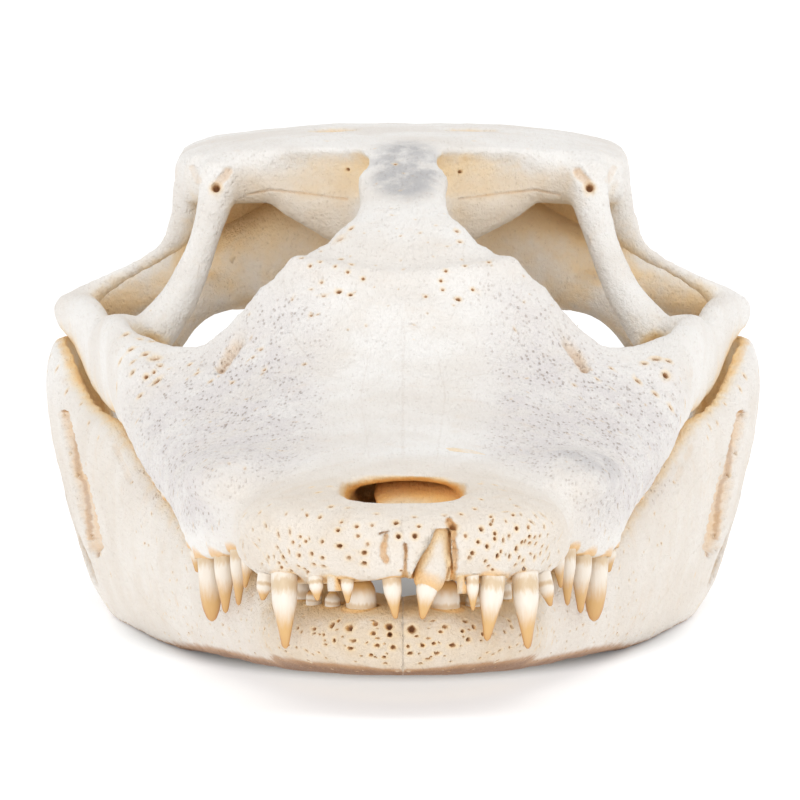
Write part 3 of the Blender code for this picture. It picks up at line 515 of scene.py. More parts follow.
# %% Forms of the cranium
def cranium_forms():
    """Every form of the right or middle of the cranium behind and round the face."""
    return [
        # Jugal and quadratojugal bar under the eye, back to the jaw joint.
        swept("Y", (
            (92, 36, 36, 4, 4.5, -8), (100, 38.6, 37.2, 3.6, 5.8, -8), (108, 40.6, 38.6, 2.9, 6.9, -8),
            (116, 42.2, 39, 2.6, 7.5, -4), (121, 43.1, 38.8, 2.6, 6.9, -4), (126, 44.2, 38.6, 2.6, 5.9, -5),
            (132, 45.6, 40.2, 2.6, 6, -6), (142, 47.6, 42.6, 2.6, 4.8, -8), (152, 50, 44, 2.9, 2.9, -10),
            (162, 50.2, 43.4, 2.7, 2.5, -10), (168, 48.4, 43.8, 2, 2.2, -12),
        )),
        # Frontal bar between the eyes, widening back into the skull table.
        swept("Y", (
            (84, 0, 46, 9, 3), (94, 0, 54.2, 12, 3), (100, 0, 57.8, 10.6, 2.8), (106, 0, 60.4, 7.4, 2.6),
            (112, 0, 62.8, 6.5, 2.4), (120, 0, 65.6, 6.8, 2.6), (127, 0, 68.2, 8.6, 2.8),
            (136, 0, 68.8, 12, 3),
        ), corner=3),
        # Half of the skull table, with its arched top and its raised front and side rims.
        swept("X", (
            (-0.5, 153, 69, 22, 2.9), (10, 154, 69, 21.6, 2.8), (20, 155.2, 68.4, 21.6, 2.7),
            (28, 156.4, 67.3, 20.8, 2.7), (32.5, 157.2, 66.4, 19.2, 2.4), (34.3, 158, 66, 16, 1.5),
        ), corner=4),
        # Front wall of the table: the back edge of the eye socket.
        swept("X", (
            (4, 130.8, 66.4, 3.4, 4.2), (12, 132, 66.2, 3.2, 4.3), (21, 134, 65.8, 3, 4.2),
            (28, 136, 65.4, 3, 4), (33, 139, 65, 2.8, 3.6),
        )),
        # Bar behind the eye, from the corner of the table down to the jugal.
        bar((
            (27, 134, 67), (28.2, 131, 61.5), (30, 128.4, 55.5), (33, 125.2, 48.6), (38, 121, 42),
        ), (3.6, 2.7, 2.3, 2.7, 3.6)),
        # Braincase under the table.
        swept("Y", (
            (119, 0, 62, 3.6, 5), (126, 0, 59, 7, 9), (134, 0, 57, 11, 12), (144, 0, 57, 14, 13),
            (156, 0, 57, 15, 13), (166, 0, 58, 13.5, 12),
        )),
        # Side wall from the table down to the quadrate.
        swept("Z", (
            (50, 34.6, 160, 2.6, 6), (56, 33.6, 159, 2.4, 8.5), (60, 32.8, 157, 2.2, 11),
            (64, 32.2, 155, 2.2, 14), (68, 31.6, 154, 2.2, 17),
        ), corner=3),
        # Rim of the cheek window, from the corner of the table down to the jaw joint.
        bar((
            (31.6, 142, 64), (31.9, 142.6, 60.6), (33.4, 143.4, 56.8), (36.6, 144.6, 53.4), (40.6, 146, 51),
            (44.8, 147.6, 48.6), (48.6, 149.6, 46),
        ), (3, 3, 2.2, 1.3, 1.2, 1.5, 2.2)),
        # Wall that closes the cheek window behind its rim, and its lower lip under the eye.
        swept("X", (
            (33, 156, 54.5, 2.4, 5), (38, 156, 49.4, 2.2, 3.4), (43, 157, 47.2, 2.2, 3),
            (47, 158, 45.4, 2.2, 2.8),
        )),
        bar((
            (36, 141, 39.6), (35.2, 141.5, 41.8), (33.2, 142.5, 44.4), (29.6, 144, 46.8), (25, 146, 47.8),
        ), (2.4, 3, 3, 3, 3)),
        # Knob of the jugal on the edge of the eye socket.
        ball((40.8, 118.6, 43.8), (2.4, 3, 2.6)),
        # Quadrate: the thick plate from the braincase out and back to the jaw joint.
        swept("X", (
            (8, 150, 57, 12, 8), (16, 151, 54.6, 11, 8.4), (24, 153, 51.4, 10, 7.2),
            (31, 157, 49.6, 9, 5.4), (38, 160, 47.6, 8.2, 4.4), (45, 161.6, 45.3, 8.8, 3.6),
            (51, 162, 43.5, 8.6, 2.5),
        )),
        # Wall from the quadrate and braincase down to the pterygoid wing.
        swept("Z", (
            (25, 12, 145, 4, 7), (34, 13.5, 147, 3.2, 7), (42, 16, 148.5, 4.4, 7.5), (50, 18, 150, 6, 8),
        )),
        # Rolled condyle that meets the lower jaw, a little waisted in its middle.
        swept("X", CONDYLE_SECTIONS, corner=2.1),
        # Plate at the back of the head, out to the paroccipital processes.
        swept("X", (
            (-0.5, 165, 60, 4, 10), (10, 165.5, 60, 4, 9.6), (20, 167.5, 60, 3.6, 7.4),
            (28, 170, 59.4, 3, 5.6), (33, 172, 59, 2.2, 4),
        ), corner=3),
        ball((0, 170.5, 50.6), (4.6, 4.4, 4)),
        # Basioccipital plate hanging under the condyle, and the stem down to the pterygoids.
        swept("Z", ((26, 0, 146, 5, 8), (34, 0, 150, 6, 8), (42, 0, 156, 9, 6.5), (50, 0, 160, 11, 7))),
        # Palatine tube in the roof of the mouth.
        swept("Y", (
            (66, 0, 29.5, 11, 4), (80, 0, 30.6, 8.6, 3.8), (96, 0, 31.4, 7.2, 3.6), (110, 0, 31, 7.4, 3.4),
            (124, 0, 29.4, 11, 3.2), (136, 0, 28, 14, 2.8),
        )),
        # Pterygoid wing, sloping down and out to its thick rim.
        swept("X", (
            (-0.5, 137, 28.4, 19, 2.6), (8, 139, 27.6, 16.5, 2.3), (15, 141, 25.6, 12.6, 2),
            (22, 141.5, 22.6, 11.4, 2.1), (28.5, 140.5, 19, 9.5, 2.6), (31.5, 139.5, 17.2, 6, 1.8),
        )),
        # Ectopterygoid strut from the cheek to the pterygoid wing.
        bar(((38.5, 110, 35.4), (34.6, 117, 33.4), (30, 126, 28), (27, 136, 22)), (4.4, 3.8, 3.2, 2.6)),
        # Thin plate between the brow and the front of the braincase.
        swept("X", (
            (3, 128.6, 59.6, 2.4, 4.8), (9, 129.6, 59.8, 2.2, 4.2), (14, 131, 60.8, 1.8, 3),
            (19, 132.6, 62.2, 1.4, 1.6),
        )),
        # Raised rim of the spectacle: the ridge across the face in front of the eyes, and its two knobs.
        bar(((16.5, 95, 55.4), (9, 91.5, 54), (0, 90, 53.6), (-0.5, 90, 53.6)), (1.6, 1.9, 1.4, 1.4)),
        ball((8.4, 92.5, 52.6), (3.6, 3.4, 2.6)),
        # Swell over the root of the great tooth, and the lobe of the premaxilla.
        ball((22.4, 49, 28.4), (8.8, 16, 4.6)),
        ball((14, 14, 25.6), (8.6, 10.5, 4.2)),
    ]

# %% Cranium skin
CRANIUM_VOXEL = 0.8
CRANIUM_TRIANGLES = 60000


def cranium_skin():
    face = cut(joined("face", [face_block()]), orbit_openings(), mirrored=True, crossing=True)
    whole = joined("cranium_bone", [applied(face)] + cranium_forms(), mirrored=True)
    melted(whole, CRANIUM_VOXEL, 1)
    paired, single, funnel = late_openings()
    whole = cut(whole, paired, mirrored=True)
    whole = cut(whole, single)
    whole = cut(whole, funnel)
    melted(whole, CRANIUM_VOXEL, 3)
    uneven(whole, 14.0, 0.5)
    uneven(whole, 4.0, 0.22)
    thinned(whole, CRANIUM_TRIANGLES)
    return joined("cranium_bone", [applied(whole)])


cranium = cranium_skin()
print("cranium triangles:", len(cranium.data.polygons))

# %% [markdown]
# ## The lower jaw
#
# Each ramus is one long bone that stands on its lower edge, with a hollow for the jaw muscle at its back,
# a window in its side, and a bed for the condyle. The two meet in a seam at the front.

# %% Sections of a ramus
JOINT_GAP = 0.5
RAMUS_SECTIONS = (
    (3.6, -2, 10.6, 6, 2.4), (5, -1, 10.4, 9, 3.9), (8, 0.5, 10.2, 12, 4.6), (13, 3.5, 10, 13.6, 5),
    (19, 6, 9.8, 13.2, 5.4), (24, 9, 9.8, 10.8, 5.8), (30, 13.6, 9.9, 7, 6.4), (36, 16.2, 10, 5.6, 6.8, -2),
    (41, 18.2, 9.8, 5.1, 7, -3), (47, 20.2, 9.6, 4.8, 7.1, -4), (54, 22.8, 9.8, 4.6, 7.6, -5),
    (62, 25.4, 10.3, 4.6, 8.6, -6), (70, 27.8, 10.9, 4.6, 9.8, -8), (78, 30.2, 11.7, 4.6, 11.3, -9),
    (86, 32.6, 12.6, 4.7, 12.9, -10), (94, 35, 13.8, 4.9, 14.4, -10), (102, 37.2, 14.5, 4.8, 15.3, -9),
    (110, 39.4, 15.2, 4.8, 16, -9.5), (120, 42.2, 15.7, 4.8, 16.6, -10), (130, 44.8, 17, 4.8, 18, -12),
    (140, 46.8, 19.8, 4.7, 19.8, -13), (150, 47.6, 21.6, 4.8, 19.2, -12), (158, 47.8, 23.8, 5, 16.4, -8),
    (166, 45.6, 27, 6.2, 13.4, -6), (172, 44.6, 28, 6.8, 12.4, -4), (179, 44.4, 28.6, 6.2, 9.8),
    (187, 44.6, 30.2, 5.4, 8), (195, 44.8, 32.6, 4.4, 6.4), (201, 44.8, 34.8, 3.2, 4.8),
    (204, 44.6, 36, 1.8, 2.6),
)

# %% Hollows of a ramus
def ramus_openings():
    chamber = swept("Y", (
        (110, 39.2, 24, 1.2, 7), (118, 41.4, 28, 2.3, 16), (130, 44.4, 30, 2.8, 20),
        (142, 46.2, 32, 2.8, 20), (152, 47.4, 34, 2.3, 14), (157, 47.6, 34, 1.3, 8),
    ), corner=3)
    inner_door = swept("Y", (
        (116, 38, 32, 4.5, 4, -7), (130, 41.4, 36, 6, 12, -9), (140, 43.4, 37.2, 6.2, 12.8, -9),
        (148, 44.2, 38.2, 6.4, 13, -9), (156, 43.4, 40, 6, 8, -7),
    ))
    window = swept("Y", (
        (125, 48.4, 6.8, 6, 2), (131, 50, 9.4, 6.6, 4.2), (140, 52, 14.4, 7, 5.2),
        (149, 53.8, 20.4, 7, 4.2), (156, 54.8, 25, 6.4, 2),
    ))
    grown = [(x, y, z, deep + JOINT_GAP, high + JOINT_GAP) for x, y, z, deep, high in CONDYLE_SECTIONS]
    grown = [(30.5, *grown[0][1:])] + grown + [(51.5, *grown[-1][1:])]
    condyle_bed = swept("X", grown, corner=2.1)
    return [chamber, inner_door, window, condyle_bed]

# %% Ramus skin
RAMUS_VOXEL = 0.7
RAMUS_TRIANGLES = 44000
SEAM_GAP = 0.02


def ramus_skin():
    """The left ramus, cut flat where it meets its twin and where it stands."""
    whole = joined("ramus", [swept("Y", RAMUS_SECTIONS, corner=2.4)])
    for hollow in ramus_openings():
        whole = cut(whole, [hollow], crossing=True)
    melted(whole, RAMUS_VOXEL, 3)
    uneven(whole, 12.0, 0.45)
    uneven(whole, 3.5, 0.2)
    thinned(whole, RAMUS_TRIANGLES)
    whole = cut(whole, [block((-60, -5, -20), (SEAM_GAP, 60.0, 40.0))])
    return cut(whole, [block((-30, -5, -20), (90, 215, 0))])


left_ramus = ramus_skin()
twin = applied(left_ramus, keep=True)
bmesh.ops.scale(twin, vec=(-1, 1, 1), verts=twin.verts)
bmesh.ops.reverse_faces(twin, faces=twin.faces)
right_ramus = joined("mandible_right_bone", [twin])
left_ramus.name = "mandible_left_bone"
print("ramus faces:", len(left_ramus.data.polygons))

# %% [markdown]
# ## Teeth on paper
#
# Caiman teeth are slim cones that bend back a little. Five stand in each premaxilla, fourteen in each
# maxilla and nine in each half of the lower jaw. Each has the root, tip and radius of its solid, so the
# new tooth stands exactly in its place.

# %% Front teeth of the upper jaw
PREMAXILLARY_TEETH = {
    "right": (
        (1, (1.7, 3.8, 20.6), (1, 2.4, 13.8), 1.3), (2, (7.6, 4.4, 20), (7.5, 3.4, 15.8), 0.9),
        (3, (12, 6.2, 20), (11.6, 5, 16), 1), (4, (16.2, 9, 20), (16, 7, 9.2), 1.8),
        (5, (18.6, 13.6, 20), (19.2, 12.6, 15.2), 1.1),
    ),
    "left": (
        (1, (4.3, 4.2, 24.8), (2.6, 2, 13.8), 1.5), (2, (9.4, 4.8, 20.6), (9.5, 3.6, 14.8), 0.9),
        (3, (12.4, 6.2, 20.6), (11.4, 4.2, 10.6), 1.7), (4, (16.6, 9.2, 20), (17, 7, 9.2), 1.8),
        (5, (18.8, 13.8, 20), (20.2, 12.6, 14.4), 1.1),
    ),
}
# Front maxillary teeth, alike on both sides. The fourth is the great tooth.
MAXILLARY_TEETH = (
    (1, (21, 31.4, 23), (21.9, 30.2, 15), 1), (2, (22.8, 36.2, 22.4), (22.9, 35.2, 12), 1.25),
    (3, (25, 41.2, 21.6), (24.8, 40, 10.4), 1.5), (4, (27.4, 47.4, 21), (26.8, 45.6, 8.6), 1.65),
    (5, (28.6, 53.4, 21.4), (29, 52.4, 14.8), 1.3),
)
REAR_MAXILLARY_FROM_TO = (59, 104)
REAR_MAXILLARY_COUNT = 9
REAR_CROWN = 1.3
REAR_INSET = 3.2
REAR_RADIUS = 1.15
REAR_LEAN = 0.3
# Front dentary teeth: number, place from the tip, height above the bone and radius.
DENTARY_TEETH = (
    (1, 9.5, 4, 2.1), (2, 12.5, 2, 1.1), (3, 15.5, 1.4, 1.1), (4, 21, 4, 1.6), (5, 28, 2.6, 1.1),
    (6, 34, 2.4, 1.1), (7, 40, 2.4, 1.1), (8, 46, 2.4, 1.1), (9, 52, 2.4, 1.1),
)
DENTARY_FRONT_ACROSS = {1: 5.7, 2: 9.6, 3: 12.2, 4: 13.4}

# %% Heights of the lower jaw
def station_value(table, column, place):
    table = np.array([row + (0.0,) * (6 - len(row)) for row in table])
    return float(smooth_through(table[:, 0], table[:, column], [place])[0])


def ramus_top(place):
    """Middle across and height of the upper edge of the left ramus."""
    across, up, half_up, lean = (station_value(RAMUS_SECTIONS, k, place) for k in (1, 2, 4, 5))
    turn = math.radians(lean)
    return across - half_up * math.sin(turn), up + half_up * math.cos(turn)

# %% Roots and tips of all teeth
ROOT_DEPTH = 3.0


def upper_teeth():
    """(name, root, tip, radius, share of its length inside the bone) of every tooth of the cranium."""
    found = []
    for side, sign in (("left", 1), ("right", -1)):
        rows = [(f"premaxilla_{side}_{n}", *row) for n, *row in PREMAXILLARY_TEETH[side]]
        rows += [(f"maxilla_{side}_{n}", *row) for n, *row in MAXILLARY_TEETH]
        for i, place in enumerate(np.linspace(*REAR_MAXILLARY_FROM_TO, REAR_MAXILLARY_COUNT)):
            half, low = (station_value(FACE_STATIONS, column, place) for column in (1, 7))
            root = (half - REAR_INSET, place, low + ROOT_DEPTH)
            tip = (half - REAR_INSET, place - REAR_LEAN, low - REAR_CROWN)
            rows.append((f"maxilla_{side}_{6 + i}", root, tip, REAR_RADIUS))
        for name, root, tip, radius in rows:
            flip = Vector((sign, 1, 1))
            edge = station_value(FACE_STATIONS, 7, root[1]) + 0.2
            neck = (root[2] - edge) / (root[2] - tip[2])
            found.append((f"tooth_{name}", Vector(root) * flip, Vector(tip) * flip, radius, neck))
    return found


def lower_teeth():
    found = []
    for side, sign in (("left", 1), ("right", -1)):
        for number, place, crown, radius in DENTARY_TEETH:
            across, top = ramus_top(place)
            across = DENTARY_FRONT_ACROSS.get(number, across)
            root = Vector((sign * across, place, top - ROOT_DEPTH))
            tip = Vector((sign * across, place - 0.4, top + crown))
            neck = ROOT_DEPTH / (ROOT_DEPTH + crown)
            found.append((f"tooth_dentary_{side}_{number}", root, tip, radius, neck))
    return found


print("teeth:", len(upper_teeth()), "above,", len(lower_teeth()), "below")

# %% [markdown]
# ## The broken front
#
# Right of the middle the thin bone in front of the first tooth has broken away, so its long root lies
# open in a trench. Chips of bone hang from the broken edge, and a thin plate in the nostril hides what
# lies behind it. The slots beside the trench follow later as grooves.

# %% Trench and chips
def broken_front():
    """The trench round the first tooth."""
    return swept("Z", (
        (15, 4, 1.2, 3, 2.6), (19, 4, 1.6, 2.9, 2.6), (22, 4.2, 2, 2.5, 2.2), (24.4, 4.8, 2.2, 1.9, 1.8),
        (26.2, 5.4, 2.2, 1, 1.4),
    ), corner=2.6, step=0.8)


cranium = cut(cranium, [broken_front()])
# Each chip: the points that it runs through and its radius at each.
CHIPS = (
    (((8, 4.6, 22), (8, 3.8, 17.1)), (0.8, 0.65)), (((-9.4, 5.2, 22), (-9.2, 4.4, 17.4)), (1.3, 1)),
    (((4.5, 3.6, 26.4), (4.5, 3.3, 22.6), (3.7, 2.7, 19), (3, 2.4, 17.2)), (1.1, 1.9, 1.7, 1)),
    (((4.6, 3.4, 22.8), (6, 3, 21.6), (6.7, 3, 21.2)), (1.5, 0.9, 0.3)),
)
FLOOR_MIDDLE = (6.2, 27, 28.4)
FLOOR_TILT = 17
nostril_floor = ball(FLOOR_MIDDLE, (10.2, 17, 0.9))
turned = Matrix.Rotation(math.radians(FLOOR_TILT), 3, "X")
bmesh.ops.rotate(nostril_floor, cent=Vector(FLOOR_MIDDLE) * MM, matrix=turned, verts=nostril_floor.verts)
broken_bits = [bar(points, radii, step=0.5) for points, radii in CHIPS]
cranium = joined("cranium_bone", [applied(cranium), nostril_floor] + broken_bits)
print("cranium faces:", len(cranium.data.polygons))

# %% [markdown]
# ## Sockets
#
# Thin bone wraps the root of every tooth, so that a row of teeth shows as a row of soft swellings. The
# skin is split finer round each root, and every point nearer to the root than its bone is thick moves
# outwards, least where the swelling fades into the jaw.

# %% Tools for values on points
def table_of(items, label, wide=1, kind=float):
    """What every point, edge or face says of itself, a row for each."""
    table = np.empty(len(items) * wide, kind)
    items.foreach_get(label, table)
    return table.reshape(-1, wide) if wide > 1 else table


def points_of(mesh):
    return table_of(mesh.vertices, "co", 3)


def normals_of(mesh):
    return table_of(mesh.vertices, "normal", 3, np.float32)


def keep_value(mesh, name, values):
    layer = mesh.attributes.get(name) or mesh.attributes.new(name, "FLOAT", "POINT")
    layer.data.foreach_set("value", np.asarray(values, np.float32))


def value_of(mesh, name):
    return table_of(mesh.attributes[name].data, "value", 1, np.float32)


def place_points(mesh, points):
    mesh.vertices.foreach_set("co", points.ravel())
    mesh.update()


def evened(mesh, values, rounds):
    """Each value drawn towards those of its neighbours."""
    edges = table_of(mesh.edges, "vertices", 2, int)
    ends = np.concatenate([edges[:, 0], edges[:, 1]])
    others = np.concatenate([edges[:, 1], edges[:, 0]])
    count = np.maximum(np.bincount(ends, minlength=len(values)), 1)
    for _ in range(rounds):
        around = np.bincount(ends, weights=values[others], minlength=len(values)) / count
        values = (values + around) / 2
    return values


def fade(values, start, end):
    """0 at start, 1 at end, smooth in between."""
    t = np.clip((np.asarray(values) - start) / (end - start), 0, 1)
    return t * t * (3 - 2 * t)


# %% Splitting edges
SHORTEST_EDGE = 0.16


def refined(bone, spots):
    """Splits edges near each spot, given as place, reach and longest edge, until they are short enough."""
    tree = KDTree(len(spots))
    for i, (place, _, _) in enumerate(spots):
        tree.insert(place, i)
    tree.balance()
    solid = bmesh.new()
    solid.from_mesh(bone.data)
    for _ in range(5):
        long_edges = []
        for edge in solid.edges:
            length = edge.calc_length()
            if length < SHORTEST_EDGE * MM:
                continue
            middle = (edge.verts[0].co + edge.verts[1].co) / 2
            for _, i, distance in tree.find_n(middle, 2):
                if distance < spots[i][1] + length / 2 and length > spots[i][2]:
                    long_edges.append(edge)
                    break
        if not long_edges:
            break
        bmesh.ops.subdivide_edges(solid, edges=long_edges, cuts=1)
        wide_faces = [face for face in solid.faces if len(face.verts) > 3]
        bmesh.ops.triangulate(solid, faces=wide_faces)
    solid.to_mesh(bone.data)
    solid.free()

# %% Wrapping the roots
WRAP = 0.4
SOFT = 0.35
ROOT_EDGE = 0.95


def tooth_space(points, root, tip):
    """Where points lie round a tooth: share of its length, way out and distance from its axis."""
    axis = np.array(tip - root)
    offset = points - np.array(root)
    along = offset @ axis / (axis @ axis)
    offset = offset - np.outer(along, axis)
    away = np.linalg.norm(offset, axis=1)
    return along, offset / np.maximum(away, 1e-6)[:, None], away


def wrapped(bone, teeth):
    spots = []
    for _, root, tip, radius, neck in teeth:
        for share in np.linspace(-0.3, neck + 0.1, 4):
            spots.append((root.lerp(tip, share) * MM, (radius + 1.1) * MM, ROOT_EDGE * MM))
    refined(bone, spots)
    points = points_of(bone.data) / MM
    for _, root, tip, radius, neck in teeth:
        along, out, away = tooth_space(points, root, tip)
        rise = min(0.8, 4.0 / (tip - root).length)
        held = fade(along, -rise, 0.0) * (1 - fade(along, neck, neck + 0.14))
        thick = radius + WRAP
        wanted = thick + SOFT * np.logaddexp(0, (away - thick) / SOFT)
        points += out * ((wanted - away) * held * (away < thick + 2))[:, None]
    place_points(bone.data, points * MM)


left_teeth = [tooth for tooth in lower_teeth() if tooth[1].x > 0]
right_teeth = [tooth for tooth in lower_teeth() if tooth[1].x < 0]
bones = ((cranium, upper_teeth()), (left_ramus, left_teeth), (right_ramus, right_teeth))
for bone, teeth in bones:
    wrapped(bone, teeth)
print("faces after wrapping:", len(cranium.data.polygons), len(left_ramus.data.polygons))

# %% [markdown]
# ## How deep a place lies
#
# Hollows, crevices and the inside of the skull are painted tan and orange as painted shade and warm
# bounce light, the more the more hidden a place is. From every point a fan of rays looks outwards. The
# share that soon meets bone again says how hidden the point is. It is measured twice, for tight crevices
# and for wide hollows, and kept as a value on each point.

# %% Fan of rays
RAYS = 16
RAY_LEAD = 0.2
OPEN_FAN = 0.92
NARROW = 5.0
WIDE = 36.0


def hidden_shares(bone, tree):
    """For every point: how closed in it is by bone nearby, and by bone further off."""
    points, normals = points_of(bone.data), normals_of(bone.data)
    turns = np.arange(RAYS) * math.pi * (3 - math.sqrt(5))
    up = 1 - (np.arange(RAYS) + 0.5) / RAYS * OPEN_FAN
    out = np.sqrt(1 - up * up)
    crevice_shade, wide = np.zeros(len(points)), np.zeros(len(points))
    for i, (point, normal) in enumerate(zip(points, normals)):
        ahead = Vector(normal)
        side = ahead.orthogonal().normalized()
        other = ahead.cross(side)
        start = Vector(point) + ahead * (RAY_LEAD * MM)
        for k in range(RAYS):
            ray = ahead * up[k] + (side * math.cos(turns[k]) + other * math.sin(turns[k])) * out[k]
            distance = tree.ray_cast(start, ray, WIDE * MM)[3]
            if distance is not None:
                crevice_shade[i] += max(0.0, 1 - distance / (NARROW * MM)) / RAYS
                wide[i] += (1 - distance / (WIDE * MM)) / RAYS
    return evened(bone.data, crevice_shade, 2), evened(bone.data, wide, 2)


def all_bone(bones):
    points, faces, start = [], [], 0
    for bone in bones:
        points += [v.co for v in bone.data.vertices]
        faces += [[start + i for i in f.vertices] for f in bone.data.polygons]
        start += len(bone.data.vertices)
    return BVHTree.FromPolygons(points, faces)


skin_tree = all_bone((cranium, left_ramus, right_ramus))
# How hidden each point is drives the painted shade and warm bounce light in hollows and crevices.
for bone, _ in bones:
    crevice_shade, wide = hidden_shares(bone, skin_tree)
    keep_value(bone.data, "crevice_shade", crevice_shade)
    keep_value(bone.data, "wide", wide)
    print(bone.name, "narrow up to", round(crevice_shade.max(), 2), "wide up to", round(wide.max(), 2))

# %% [markdown]
# ## Pits
#
# Every vessel and nerve that fed the skin left a pit with a brown floor. The front of the snout, the
# cheeks and the chin are full of them. Those in the photograph are listed by pixel, width and height in
# pixels, depth in millimetres and how brown they are, and a ray through the pixel finds their place.

# %% Pits seen in the photograph
SNOUT_PITS = (
    (330.6, 507.5, 5, 6, 0.5, 0.9), (347.8, 508.7, 5, 5, 0.3, 0.4), (318, 493.3, 4.5, 6, 0.5, 0.8),
    (329.5, 487, 4.5, 4, 0.3, 0.5), (311, 488, 4, 4.5, 0.3, 0.6), (306.5, 515.8, 3, 6, 0.3, 0.6),
    (319.6, 518, 4, 6, 0.4, 0.7), (376.5, 514.6, 5, 4, 0.3, 0.4), (396, 523.8, 5.5, 5.5, 0.6, 0.9),
    (372, 526, 4.5, 4.5, 0.3, 0.4), (356.3, 527.3, 5, 5, 0.4, 0.6), (341, 523, 3.5, 4, 0.3, 0.6),
    (337.5, 531.2, 5, 4.5, 0.5, 0.8), (357.7, 537, 5, 4.5, 0.3, 0.5), (398.3, 537.4, 5.5, 5.5, 0.6, 1),
    (339, 547.2, 7, 4.5, 0.6, 0.9), (367.3, 545.4, 4.5, 5, 0.3, 0.4), (363.9, 554.1, 6.5, 5, 0.6, 0.8),
    (363.9, 565, 6, 5, 0.6, 0.8), (348.3, 559.4, 5.5, 5, 0.4, 0.4), (321.9, 559.4, 5, 4, 0.4, 0.6),
    (321.4, 542.6, 4.5, 5, 0.4, 0.5), (311, 555.3, 4.5, 5, 0.4, 0.6), (313.4, 566, 5, 4.5, 0.4, 0.6),
    (323, 567.9, 5, 4.5, 0.4, 0.6), (298, 556.9, 5, 5, 0.4, 0.6), (305, 542.6, 4, 4, 0.3, 0.6),
    (299.6, 538, 4, 4, 0.3, 0.5), (292.3, 543.8, 3.5, 4.5, 0.3, 0.5), (282.4, 558.7, 4, 5.5, 0.5, 0.8),
    (297.8, 568, 4, 4.5, 0.3, 0.6), (304.2, 570.7, 4, 4.5, 0.3, 0.6), (307.2, 573.2, 4, 4, 0.3, 0.5),
    (290.9, 572.5, 3.5, 5.5, 0.3, 0.6), (276.6, 548.8, 3.5, 4.5, 0.3, 0.4),
    (267.5, 558.7, 3.5, 5, 0.3, 0.5), (278.3, 564.5, 3.5, 4, 0.3, 0.5), (280.8, 569, 4, 4, 0.3, 0.6),
    (401.3, 572.5, 3.5, 3, 0.2, 0.7), (414.4, 517.9, 4.5, 4, 0.3, 0.5), (419, 527.3, 4.5, 4.5, 0.3, 0.7),
    (415, 537, 6, 6.5, 0.6, 0.9), (444.7, 516.2, 5, 4.5, 0.3, 0.4), (453.4, 528.9, 9, 8.5, 0.8, 0.6),
    (461.5, 515, 4, 4.5, 0.3, 0.7), (481, 484.6, 4, 3.5, 0.3, 0.9), (481.7, 500.2, 3.5, 4.5, 0.3, 0.9),
    (475.2, 509.8, 4, 4.5, 0.3, 0.7), (495.4, 485.7, 3.5, 4.5, 0.3, 0.8), (503.2, 491, 3, 6, 0.3, 0.5),
    (491.3, 517.4, 3.5, 5, 0.3, 0.7), (513.6, 515.8, 3.5, 4.5, 0.3, 0.7), (481.7, 530, 5, 6, 0.6, 0.9),
    (491.3, 525, 3.5, 5, 0.4, 0.6), (517.2, 529.6, 4, 5.5, 0.5, 0.9), (495.4, 534.6, 4, 5, 0.4, 0.8),
    (495.4, 540, 4, 5, 0.4, 0.7), (466, 536.9, 4, 5.5, 0.3, 0.5), (478.7, 543.1, 4.5, 4.5, 0.4, 0.8),
    (487.8, 547.7, 4.5, 5.5, 0.5, 0.9), (503.9, 541.5, 3, 6.5, 0.3, 0.5),
    (529.2, 528.2, 3.5, 5.5, 0.3, 0.6), (522.7, 543.8, 3.5, 5.5, 0.4, 0.7),
    (530.3, 538, 3.5, 4.5, 0.4, 0.8), (530.3, 544.5, 4, 4.5, 0.4, 0.8), (535.6, 538.7, 3, 5, 0.3, 0.6),
    (536.5, 545, 3, 5, 0.3, 0.7), (517, 550.2, 4, 6.5, 0.5, 0.9), (472.9, 554.6, 5, 5, 0.5, 0.8),
    (470, 559.2, 5, 5.5, 0.4, 0.4), (498.2, 557.6, 4.5, 6, 0.6, 1), (486, 562.8, 4, 4.5, 0.4, 0.6),
    (489, 567.9, 4, 4.5, 0.4, 0.6), (492.9, 571.3, 4, 3.5, 0.3, 0.6), (510.3, 558, 3.5, 6, 0.4, 0.6),
    (520, 559.2, 3.5, 5, 0.4, 0.7), (523.9, 562.3, 3.5, 5.5, 0.4, 0.7), (516, 566.7, 3.5, 5, 0.4, 0.6),
    (524.6, 570.9, 4, 4.5, 0.4, 0.7), (535.6, 558.7, 3.5, 5.5, 0.4, 0.7), (541.3, 554.8, 3, 5, 0.3, 0.6),
    (549.1, 559.2, 3, 5, 0.3, 0.5), (501.6, 553, 3, 4.5, 0.3, 0.7), (543, 547.7, 3, 5, 0.3, 0.6),
    (545.2, 527.7, 3, 4.5, 0.3, 0.5), (540.7, 537.4, 3, 4.5, 0.3, 0.5), (509.7, 537.4, 3, 5, 0.3, 0.5),
)
